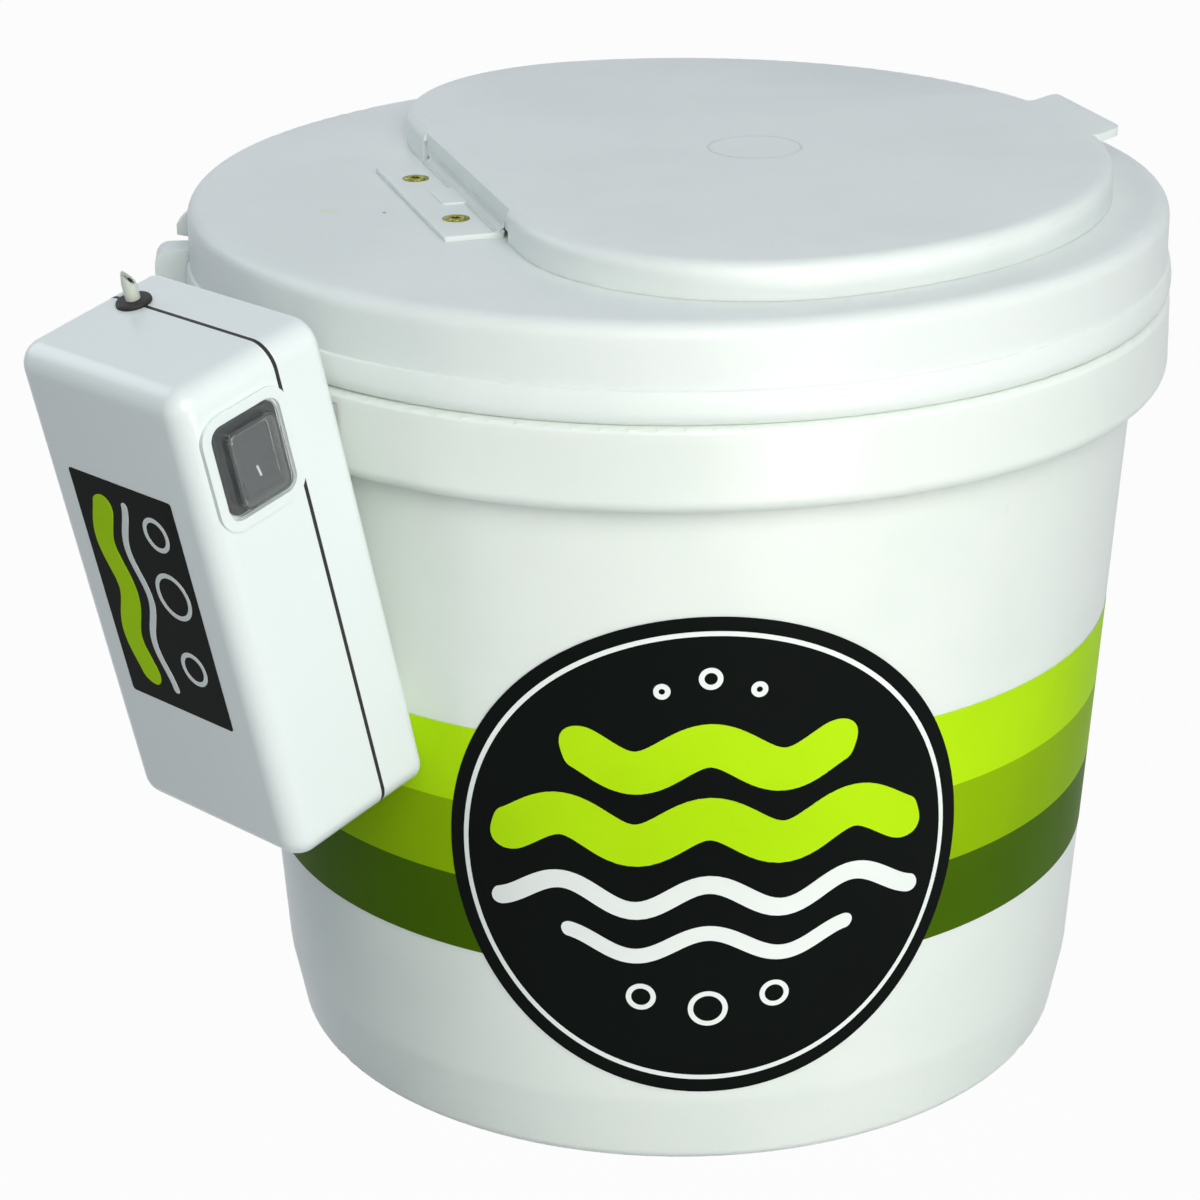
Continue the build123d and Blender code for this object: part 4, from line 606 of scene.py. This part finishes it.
# %% Rolled bead and closed edges
BEAD_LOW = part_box("lid")[0].z / MM
BEAD_HEIGHT = 10.2
BEAD_RADIUS = 153.5
BEAD_ROLL = 2.8
BEAD_ROLL_HEIGHT = 4.2
BEAD_LEAN = 0.8
BEAD_CUTS = 14
CUTS_GATHER = 1.4      # above 1, the cuts lie closer together near the lower edge
LOW_EDGE_INSIDE = 151.0
BAND_INSIDE = 152.2
BEAD_SLACK = 0.02
LID_DROP = 0.35
HATCH_DROP = 0.22
EDGE_SLACK = 0.01


def bead_radius(above):
    """The bead's outer radius at a height above its lower edge, in millimetres."""
    if above < BEAD_ROLL_HEIGHT:
        under = 1 - above / BEAD_ROLL_HEIGHT
        return BEAD_RADIUS - BEAD_ROLL * (1 - math.sqrt(1 - under ** 2))
    share = (above - BEAD_ROLL_HEIGHT) / (BEAD_HEIGHT - BEAD_ROLL_HEIGHT)
    return BEAD_RADIUS - BEAD_LEAN * share ** 2


def roll_bead(piece):
    """Rounds the band at the foot of the lid's skirt."""
    only(piece)
    bpy.ops.object.mode_set(mode="EDIT")
    for i in range(1, BEAD_CUTS):
        bpy.ops.mesh.select_all(action="SELECT")
        height = BEAD_LOW + BEAD_HEIGHT * (i / BEAD_CUTS) ** CUTS_GATHER
        bpy.ops.mesh.bisect(plane_co=(0, 0, height * MM), plane_no=(0, 0, 1))
    bpy.ops.object.mode_set(mode="OBJECT")
    moved = 0
    for vertex in piece.data.vertices:
        radius = math.hypot(vertex.co.x, vertex.co.y) / MM
        above = vertex.co.z / MM - BEAD_LOW
        inside = LOW_EDGE_INSIDE if above < BEAD_ROLL_HEIGHT / 2 else BAND_INSIDE
        if above < BEAD_HEIGHT and inside < radius < BEAD_RADIUS + BEAD_SLACK:
            share = bead_radius(max(0.0, above)) / radius
            vertex.co.x *= share
            vertex.co.y *= share
            moved += 1
    return moved


def drop_edge(piece, height, drop):
    """Lets the lowest edge of a piece down."""
    for vertex in piece.data.vertices:
        if vertex.co.z < (height + EDGE_SLACK) * MM:
            vertex.co.z -= drop * MM
    shade(piece)


print("points of the bead moved:", roll_bead(dressed["lid"]))
drop_edge(dressed["lid"], BEAD_LOW, LID_DROP)
drop_edge(dressed["hatch"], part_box("hatch")[0].z / MM, HATCH_DROP)

# %% [markdown]
# ## Printed stripes and disc
# The colours are screen-printed on the wall: three plain bands right round the pail, and a black
# disc over them at the front. Ink has a real, very small thickness, so each print is a thin film.
# The bands are drawn straight on the cone. The disc and its marks are drawn flat and then wrapped
# on the cone, and the disc is first cut into narrow strips that can bend. Printing flat and then
# wrapping keeps a circle as round as it is on the real pail.

# %% Inks
INK_THICKNESS = 0.08
FILM_LIFT = 0.03       # films above what they lie on
LAYER_GAP = 0.01       # between two films
CASE_LIFT = 0.02


def ink(name, colour, deep):
    """A dull screen-printed ink."""
    return plastic(name, colour, deep, roughness=0.48, cloud=0.5, grain=0.6, waviness=0.25, scuffs=0.35,
                   gloss=0.03)


lime_ink = ink("ink_lime", srgb(186, 232, 22), srgb(172, 218, 14))
leaf_ink = ink("ink_leaf", srgb(146, 184, 10), srgb(134, 172, 8))
olive_ink = ink("ink_olive", srgb(70, 102, 6), srgb(60, 90, 4))
black_ink = ink("ink_black", srgb(13, 17, 15), srgb(9, 12, 11))
white_ink = ink("ink_white", srgb(240, 243, 240), srgb(228, 232, 228))
print("inks:", lime_ink.name, leaf_ink.name, olive_ink.name, black_ink.name, white_ink.name)


# %% Wrapping a flat film on the wall
def cut_strips(piece, step):
    """Cuts a flat piece (X across, Z up) into upright strips so that it can bend."""
    only(piece)
    bpy.ops.object.mode_set(mode="EDIT")
    reach = max(abs(v.co.x) for v in piece.data.vertices)
    count = int(reach / step)
    for i in range(-count, count + 1):
        bpy.ops.mesh.select_all(action="SELECT")
        bpy.ops.mesh.bisect(plane_co=(i * step, 0, 0), plane_no=(1, 0, 0))
    bpy.ops.object.mode_set(mode="OBJECT")


def wrap_on_wall(piece, azimuth, lift):
    """Bends a flat piece round the pail: X runs along the wall, Z is the height, lift in mm."""
    for vertex in piece.data.vertices:
        radius = wall_radius(vertex.co.z / MM) * MM
        angle = math.radians(azimuth) + vertex.co.x / radius
        radius += lift * MM
        vertex.co.x = radius * math.sin(angle)
        vertex.co.y = -radius * math.cos(angle)


def finish_film(piece, name, paint, body, thickness=INK_THICKNESS):
    """Gives a film its thickness, finish and body. A film that is given no body is left unattached."""
    only(piece)
    solid = piece.modifiers.new("thickness", "SOLIDIFY")
    solid.thickness = thickness * MM
    solid.offset = 1.0
    bpy.ops.object.modifier_apply(modifier=solid.name)
    shade(piece, FILM_ANGLE)
    piece.name = name
    piece.data.materials.clear()
    piece.data.materials.append(paint)
    if body:
        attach(piece, body)


# %% The three bands
BAND_HEIGHT = 25.4
BAND_TOP = 144.8
BAND_STEPS = 240
for i, (name, paint) in enumerate((("lime", lime_ink), ("leaf", leaf_ink), ("olive", olive_ink))):
    top = BAND_TOP - i * BAND_HEIGHT
    low = top - BAND_HEIGHT
    bpy.ops.object.select_all(action="DESELECT")
    bpy.ops.mesh.primitive_cone_add(
        vertices=BAND_STEPS, radius1=(wall_radius(low) + FILM_LIFT) * MM,
        radius2=(wall_radius(top) + FILM_LIFT) * MM, depth=BAND_HEIGHT * MM,
        location=(0, 0, (low + top) / 2 * MM), end_fill_type="NOTHING",
    )
    band = bpy.context.object
    bpy.ops.object.transform_apply(location=True, rotation=True, scale=True)
    finish_film(band, f"band_{name}", paint, "bucket")
print("bands from", BAND_TOP, "down to", round(BAND_TOP - 3 * BAND_HEIGHT, 1), "mm")

# %% [markdown]
# ## The disc and its waves
# The disc is 159 mm across, measured along the wall. It carries a plain pattern of water waves,
# small rings and a thin border, in lime and white. A wave is a grid whose points are moved to
# both sides of a sine curve, along the curve's normal, so that the ribbon keeps its width, and
# its ends are rounded off.

# %% Flat shapes and printing
DISC_SIZE = 159.0
DISC_AZIMUTH = 4.0
DISC_Z = 106.8
STRIP_STEP = 5.0


def flat_disc(diameter, height, vertices=192):
    """A filled circle that stands upright in the X-Z plane and faces the front."""
    bpy.ops.object.select_all(action="DESELECT")
    bpy.ops.mesh.primitive_circle_add(vertices=vertices, radius=diameter / 2 * MM, fill_type="NGON",
                                      rotation=(math.radians(90), 0, 0))
    piece = bpy.context.object
    piece.location = (0, 0, height * MM)
    bpy.ops.object.transform_apply(location=True, rotation=True, scale=True)
    return piece


def flat_ring(diameter, width, x, height, vertices):
    """A circle drawn with a line of a given width."""
    bpy.ops.object.select_all(action="DESELECT")
    bpy.ops.mesh.primitive_circle_add(vertices=vertices, radius=diameter / 2 * MM, fill_type="NOTHING",
                                      rotation=(math.radians(90), 0, 0))
    piece = bpy.context.object
    bpy.ops.object.mode_set(mode="EDIT")
    bpy.ops.mesh.select_all(action="SELECT")
    bpy.ops.mesh.extrude_region()
    shrink = 1 - 2 * width / diameter
    bpy.ops.transform.resize(value=(shrink, shrink, shrink))
    bpy.ops.mesh.select_all(action="SELECT")
    bpy.ops.mesh.normals_make_consistent(inside=False)
    bpy.ops.object.mode_set(mode="OBJECT")
    piece.location = (x * MM, 0, height * MM)
    bpy.ops.object.transform_apply(location=True, rotation=True, scale=True)
    return piece


def flat_wave(length, width, x, height, swing, wavelength, steps=96):
    """A wavy ribbon in the X-Z plane. Its ends are level where the length is whole waves."""
    bpy.ops.object.select_all(action="DESELECT")
    bpy.ops.mesh.primitive_grid_add(x_subdivisions=steps, y_subdivisions=4, size=1.0,
                                    rotation=(math.radians(90), 0, 0))
    piece = bpy.context.object
    bpy.ops.object.transform_apply(location=True, rotation=True, scale=True)
    straight = length / 2 - width / 2
    for vertex in piece.data.vertices:
        along = length / 2 * math.sin(math.pi * vertex.co.x)
        beyond = max(0.0, abs(along) - straight)
        half = math.sqrt(max(0.0, (width / 2) ** 2 - beyond ** 2))
        side = 2 * vertex.co.z
        phase = 2 * math.pi * along / wavelength
        slope = -swing * math.sin(phase) * 2 * math.pi / wavelength
        stretch = math.hypot(1, slope)
        vertex.co.x = (x + along - side * half * slope / stretch) * MM
        vertex.co.z = (height + swing * math.cos(phase) + side * half / stretch) * MM
    only(piece)
    bpy.ops.object.mode_set(mode="EDIT")
    bpy.ops.mesh.select_all(action="SELECT")
    bpy.ops.mesh.remove_doubles(threshold=MERGE / 2)
    bpy.ops.object.mode_set(mode="OBJECT")
    return piece


def face_front(piece):
    """Turns a flat film's faces to the front, so that its thickness grows outwards."""
    only(piece)
    if sum(face.normal.y * face.area for face in piece.data.polygons) > 0:
        bpy.ops.object.mode_set(mode="EDIT")
        bpy.ops.mesh.select_all(action="SELECT")
        bpy.ops.mesh.flip_normals()
        bpy.ops.object.mode_set(mode="OBJECT")


def print_on_wall(piece, name, paint, layer):
    """Wraps a flat film on the wall. Layer 1 lies on the bands, and layer 2 on the disc."""
    face_front(piece)
    wrap_on_wall(piece, DISC_AZIMUTH, FILM_LIFT + layer * (INK_THICKNESS + LAYER_GAP))
    finish_film(piece, name, paint, "bucket")


# %% Disc and border
BORDER_INSET = 4.5
BORDER_WIDTH = 1.5
disc = flat_disc(DISC_SIZE, DISC_Z)
cut_strips(disc, STRIP_STEP * MM)
print_on_wall(disc, "label_disc", black_ink, layer=1)
border = flat_ring(DISC_SIZE - 2 * BORDER_INSET, BORDER_WIDTH, 0, DISC_Z, vertices=192)
print_on_wall(border, "label_border", white_ink, layer=2)

# %% Waves and rings
# Each wave: name, length, width, height above the disc's middle, swing and ink.
WAVES = [
    ("upper", 88, 14, 34, 4.5, lime_ink),
    ("middle", 132, 14, 10, 4.5, lime_ink),
    ("lower", 132, 6, -12, 4.5, white_ink),
    ("foot", 88, 5, -28, 4.0, white_ink),
]
WAVELENGTH = 44
for name, length, width, above, swing, paint in WAVES:
    wave = flat_wave(length, width, 0, DISC_Z + above, swing, WAVELENGTH)
    print_on_wall(wave, f"label_wave_{name}", paint, layer=2)
# Each ring: x, height above the disc's middle and diameter.
DOTS = [(-20, -46, 9), (0, -50, 12), (20, -46, 9), (-14, 56, 5), (0, 60, 7), (14, 56, 5)]
DOT_LINE = 1.6
for i, (x, above, size) in enumerate(DOTS):
    ring = flat_ring(size, DOT_LINE, x, DISC_Z + above, vertices=48)
    print_on_wall(ring, f"label_dot_{i}", white_ink, layer=2)
print("disc pieces:", 2 + len(WAVES) + len(DOTS))

# %% [markdown]
# ## The pump's label
# A black rectangle sits on the case's front, 45 by 74 mm. It is drawn in the case's own axes
# and then placed with the matrix that tilts the pump. It also carries waves and rings only.

# %% Printing on the case
LABEL_X = (-23.4, 21.8)
LABEL_Z = (42.4, 116.8)
LABEL_CORNER = 1.0


def flat_panel(x, z, corner):
    """A rectangle with rounded corners in the X-Z plane."""
    bpy.ops.object.select_all(action="DESELECT")
    bpy.ops.mesh.primitive_plane_add(size=1.0, rotation=(math.radians(90), 0, 0))
    piece = bpy.context.object
    piece.scale = ((x[1] - x[0]) * MM, (z[1] - z[0]) * MM, 1)
    piece.location = ((x[0] + x[1]) / 2 * MM, 0, (z[0] + z[1]) / 2 * MM)
    bpy.ops.object.transform_apply(location=True, rotation=True, scale=True)
    bpy.ops.object.mode_set(mode="EDIT")
    bpy.ops.mesh.select_all(action="SELECT")
    bpy.ops.mesh.bevel(offset=corner * MM, segments=4, affect="VERTICES")
    bpy.ops.object.mode_set(mode="OBJECT")
    return piece


def print_on_case(piece, name, paint, layer):
    """Lays a flat film on the case's front. Layer 1 lies on layer 0."""
    face_front(piece)
    out = CASE_DEPTH + CASE_LIFT + layer * (INK_THICKNESS + LAYER_GAP)
    piece.data.transform(Matrix.Translation((0, -out * MM, 0)))
    piece.data.transform(PUMP_AXES)
    finish_film(piece, name, paint, "pump")


def turn_upright(piece, x, z):
    """Turns a flat film a quarter turn about a point, so that a level wave stands upright."""
    centre = Vector((x, 0, z)) * MM
    quarter = Matrix.Rotation(math.radians(90), 4, "Y")
    piece.data.transform(Matrix.Translation(centre) @ quarter @ Matrix.Translation(-centre))
    return piece


# %% Label, waves and rings
# Each upright wave: name, width, x and ink. Each ring: x, height and diameter.
CASE_WAVES = [("case_label_wave", 8.5, -13, lime_ink), ("case_label_ripple", 2.6, -3, white_ink)]
CASE_WAVE_LENGTH = 63
CASE_WAVE_SWING = 2.2
CASE_WAVELENGTH = 31.5
CASE_RINGS = [(11, 104, 11), (11, 84, 15), (11, 60, 11)]
CASE_RING_LINE = 1.5
middle_z = (LABEL_Z[0] + LABEL_Z[1]) / 2
print_on_case(flat_panel(LABEL_X, LABEL_Z, LABEL_CORNER), "case_label", black_ink, layer=0)
for name, width, x, paint in CASE_WAVES:
    wave = flat_wave(CASE_WAVE_LENGTH, width, x, middle_z, CASE_WAVE_SWING, CASE_WAVELENGTH)
    print_on_case(turn_upright(wave, x, middle_z), name, paint, layer=1)
for i, (x, z, size) in enumerate(CASE_RINGS):
    ring = flat_ring(size, CASE_RING_LINE, x, z, vertices=64)
    print_on_case(ring, f"case_label_ring_{i}", white_ink, layer=1)
print("label pieces:", 1 + len(CASE_WAVES) + len(CASE_RINGS))

# %% [markdown]
# ## Living hinge
# The leaf and the hatch of the real lid are joined by a film of plastic thin enough to fold. It
# starts as a narrow plane on the leaf, and its inner edge is extruded over the hinge line and up
# to the hatch's web.

# %% Hinge film
FILM_LENGTH = 88.6
FILM_THICKNESS = 0.35
FILM_ROUTE = [(2.4, -0.05), (1.1, 0.0), (0.55, 0.50), (-0.05, 0.78), (-0.48, 1.25), (-0.64, 1.9),
              (-0.67, 3.0)]


def pick(piece, test):
    """Selects the points of a mesh that pass a test, and leaves it in edit mode."""
    only(piece)
    bpy.ops.object.mode_set(mode="EDIT")
    bpy.ops.mesh.select_mode(type="VERT")
    bpy.ops.mesh.select_all(action="DESELECT")
    bpy.ops.object.mode_set(mode="OBJECT")
    for vertex in piece.data.vertices:
        vertex.select = test(vertex.co)
    bpy.ops.object.mode_set(mode="EDIT")


def hinge_point(x, y, z):
    """A point given from the hinge line, in the frame's metres."""
    return HINGE_AXES @ (Vector((HINGE_X + x, y, HINGE_Z + z)) * MM)


first, second = FILM_ROUTE[:2]
bpy.ops.object.select_all(action="DESELECT")
bpy.ops.mesh.primitive_plane_add(size=1.0)
film = bpy.context.object
film.scale = ((first[0] - second[0]) * MM, FILM_LENGTH * MM, 1)
film.location = ((first[0] + second[0]) / 2 * MM, 0, first[1] * MM)
bpy.ops.object.transform_apply(location=True, rotation=True, scale=True)
pick(film, lambda point: point.x < (second[0] + EDGE_SLACK) * MM)
before = (second[0], first[1])
for x, z in FILM_ROUTE[2:]:
    bpy.ops.mesh.extrude_region()
    bpy.ops.transform.translate(value=((x - before[0]) * MM, 0, (z - before[1]) * MM))
    before = (x, z)
bpy.ops.object.mode_set(mode="OBJECT")
film.data.transform(HINGE_AXES @ Matrix.Translation(Vector((HINGE_X, 0, HINGE_Z)) * MM))
finish_film(film, "hinge_film", lid_plastic, None, FILM_THICKNESS)
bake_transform(film)
print("hinge film:", FILM_LENGTH, "mm long,", FILM_THICKNESS, "mm thick")

# %% [markdown]
# ## Rolled rivets
# A tubular rivet is rolled over on its own end, which splits a little as it spreads. The frame's
# rivet heads are sunk a little, and each gets a flattened torus with its rim drawn in at the
# splits. The torus is no higher than the frame's head was, because the open hatch comes close.

# %% Rivet rolls
RIVET_PLACES = [(9.25, -25.3), (9.25, 25.3)]
RIVET_TOP = LID_TOP + 2.2
HEAD_SINK = 0.4
ROLL_RADII = (2.5, 0.95)
ROLL_FLAT = 0.5
SPLITS = 5
SPLIT_DEPTH = 0.10
SPLIT_SHARPNESS = 8
for vertex in dressed["hinge_rivets"].data.vertices:
    if vertex.co.z > (RIVET_TOP - HEAD_SINK) * MM:
        vertex.co.z -= HEAD_SINK * MM
for i, (x, y) in enumerate(RIVET_PLACES):
    bpy.ops.object.select_all(action="DESELECT")
    bpy.ops.mesh.primitive_torus_add(major_segments=60, minor_segments=14, major_radius=ROLL_RADII[0] * MM,
                                     minor_radius=ROLL_RADII[1] * MM)
    roll = bpy.context.object
    for vertex in roll.data.vertices:
        angle = math.atan2(vertex.co.y, vertex.co.x) + i
        share = 1 - SPLIT_DEPTH * abs(math.cos(SPLITS * angle / 2)) ** SPLIT_SHARPNESS
        vertex.co = Vector((vertex.co.x * share, vertex.co.y * share, vertex.co.z * ROLL_FLAT * share))
    place = hinge_point(x, y, 0)
    place.z = (RIVET_TOP - ROLL_RADII[1] * ROLL_FLAT) * MM
    roll.data.transform(Matrix.Translation(place))
    bpy.ops.object.shade_smooth()
    roll.name = f"rivet_roll_{i}"
    roll.data.materials.append(brass)
    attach(roll, "lid")
print("rolled rivets:", len(RIVET_PLACES))

# %% [markdown]
# ## Mould marks
# Where the plastic enters a mould or a pin pushes the moulding out, a faint mark stays: a thin
# raised ring on the hatch, and on the lid a pale oval and a dark speck. They are very low solids,
# because a mark that is only painted doesn't catch the light.

# %% Ring, oval and speck
RING_PLACE = (24.3, 1.5)
RING_DIAMETER = 29.0
RING_WIDTH = 0.7
MARK_HEIGHT = 0.12
mark_pale = plastic("mark_pale", srgb(236, 240, 214), srgb(216, 222, 192), roughness=0.35,
                    cloud=0.6, grain=0.6, waviness=0.2)
mark_dark = plastic("mark_dark", srgb(120, 128, 118), srgb(84, 90, 82), roughness=0.5,
                    cloud=0.6, grain=0.6, waviness=0.2)
# Each spot: name, x, y, length, width and finish.
SPOTS = [
    ("lid_gate_mark", -105.2, -33.1, 6.0, 3.6, mark_pale),
    ("lid_speck", -88.4, -35.1, 1.1, 1.1, mark_dark),
]

bpy.ops.object.select_all(action="DESELECT")
bpy.ops.mesh.primitive_torus_add(major_segments=96, minor_segments=8, major_radius=RING_DIAMETER / 2 * MM,
                                 minor_radius=RING_WIDTH / 2 * MM)
ring = bpy.context.object
ring.data.transform(Matrix.Diagonal((1, 1, 2 * MARK_HEIGHT / RING_WIDTH, 1)))
ring.data.transform(Matrix.Translation(Vector((*RING_PLACE, HATCH_TOP)) * MM))
bpy.ops.object.shade_smooth()
ring.name = "hatch_mould_ring"
ring.data.materials.append(lid_plastic)
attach(ring, "hatch")
for name, x, y, long, short, paint in SPOTS:
    bpy.ops.object.select_all(action="DESELECT")
    bpy.ops.mesh.primitive_uv_sphere_add(segments=32, ring_count=12, radius=0.5 * MM)
    mark = bpy.context.object
    mark.data.transform(Matrix.Diagonal((long, short, 2 * MARK_HEIGHT, 1)))
    mark.data.transform(Matrix.Translation(Vector((x, y, LID_TOP)) * MM))
    bpy.ops.object.shade_smooth()
    mark.name = name
    mark.data.materials.append(paint)
    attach(mark, "lid")
print("mould marks:", 1 + len(SPOTS))

# %% [markdown]
# ## Switch
# The clear cover sits on a black bezel, and the rocker carries the usual upright bar for on. The
# bezel is a plane with rounded corners whose middle is inset and deleted. The bar is a bevelled
# cube, and its place is found by casting a ray at the rocker.

# %% Bezel
SWITCH_Y = -31.2
SWITCH_Z = 124.6
WELL_INSIDE = 0.7      # the well's floor inside the case's side
BEZEL_SIZE = (22.0, 26.5)
BEZEL_WIDTH = 3.2
BEZEL_CORNER = 3.2
BEZEL_THICKNESS = 0.05

bpy.ops.object.select_all(action="DESELECT")
bpy.ops.mesh.primitive_plane_add(size=1.0)
bezel = bpy.context.object
bezel.scale = (BEZEL_SIZE[0] * MM, BEZEL_SIZE[1] * MM, 1)
bpy.ops.object.transform_apply(location=True, rotation=True, scale=True)
bpy.ops.object.mode_set(mode="EDIT")
bpy.ops.mesh.select_all(action="SELECT")
bpy.ops.mesh.bevel(offset=BEZEL_CORNER * MM, segments=6, affect="VERTICES")
bpy.ops.mesh.select_mode(type="FACE")
bpy.ops.mesh.select_all(action="SELECT")
bpy.ops.mesh.inset(thickness=BEZEL_WIDTH * MM)
bpy.ops.mesh.delete(type="FACE")
bpy.ops.object.mode_set(mode="OBJECT")
facing = Matrix(((0, 0, 1, 0), (1, 0, 0, 0), (0, 1, 0, 0), (0, 0, 0, 1)))
well_floor = CASE_WIDTH / 2 - WELL_INSIDE
place = Matrix.Translation(Vector((well_floor + FILM_LIFT, SWITCH_Y, SWITCH_Z)) * MM)
bezel.data.transform(PUMP_AXES @ place @ facing)
finish_film(bezel, "switch_bezel", black_plastic, "pump", BEZEL_THICKNESS)
print("bezel:", BEZEL_SIZE, "mm")

# %% Bar on the rocker
BAR_SIZE = (0.12, 0.7, 3.0)
BAR_EDGE = 0.05
BAR_BELOW = 3.2
inwards = -(PUMP_AXES.to_3x3() @ Vector((1, 0, 0)))
outside = PUMP_AXES @ (Vector((CASE_WIDTH, SWITCH_Y, SWITCH_Z - BAR_BELOW)) * MM)
hit, spot, normal = dressed["switch_rocker"].ray_cast(outside, inwards)[:3]
upright = PUMP_AXES.to_3x3() @ Vector((0, 0, 1))
upright = (upright - normal * upright.dot(normal)).normalized()
across = upright.cross(normal)
bpy.ops.object.select_all(action="DESELECT")
bpy.ops.mesh.primitive_cube_add(size=1.0)
bar = bpy.context.object
bar.data.transform(Matrix.Diagonal((*(side * MM for side in BAR_SIZE), 1)))
bpy.ops.object.mode_set(mode="EDIT")
bpy.ops.mesh.select_all(action="SELECT")
bpy.ops.mesh.bevel(offset=BAR_EDGE * MM, segments=2)
bpy.ops.object.mode_set(mode="OBJECT")
bar.data.transform(Matrix((normal, across, upright)).transposed().to_4x4())
bar.data.transform(Matrix.Translation(spot))
bar.name = "rocker_bar"
bar.data.materials.append(white_ink)
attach(bar, "rocker")
print("ray met the rocker:", hit)

# %% [markdown]
# ## Nipple
# The nipple's tip is cut on the slant, so that the air line slips on. The plane passes through
# its axis a little below the tip, and leans so far that one side of the rim stays.

# %% Slanted tip
TIP_CUT = 1.6
TIP_SLANT = 1.1
nipple = dressed["air_nipple"]
axis = PUMP_AXES.to_3x3() @ Vector((0, 0, 1))
furthest = max(vertex.co.dot(axis) for vertex in nipple.data.vertices)
rim = [vertex.co for vertex in nipple.data.vertices if vertex.co.dot(axis) > furthest - EDGE_SLACK * MM]
tip = sum(rim, Vector()) / len(rim)
slant = (axis + TIP_SLANT * Vector((1, 0, 0))).normalized()
only(nipple)
bpy.ops.object.mode_set(mode="EDIT")
bpy.ops.mesh.select_all(action="SELECT")
bpy.ops.mesh.bisect(plane_co=tip - axis * TIP_CUT * MM, plane_no=slant, use_fill=True, clear_outer=True)
bpy.ops.object.mode_set(mode="OBJECT")
shade(nipple)
print("nipple's rim points:", len(rim))

# %% Measure and finish
low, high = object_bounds()
print("size of the object:", [round(v / MM, 1) for v in high - low], "mm")
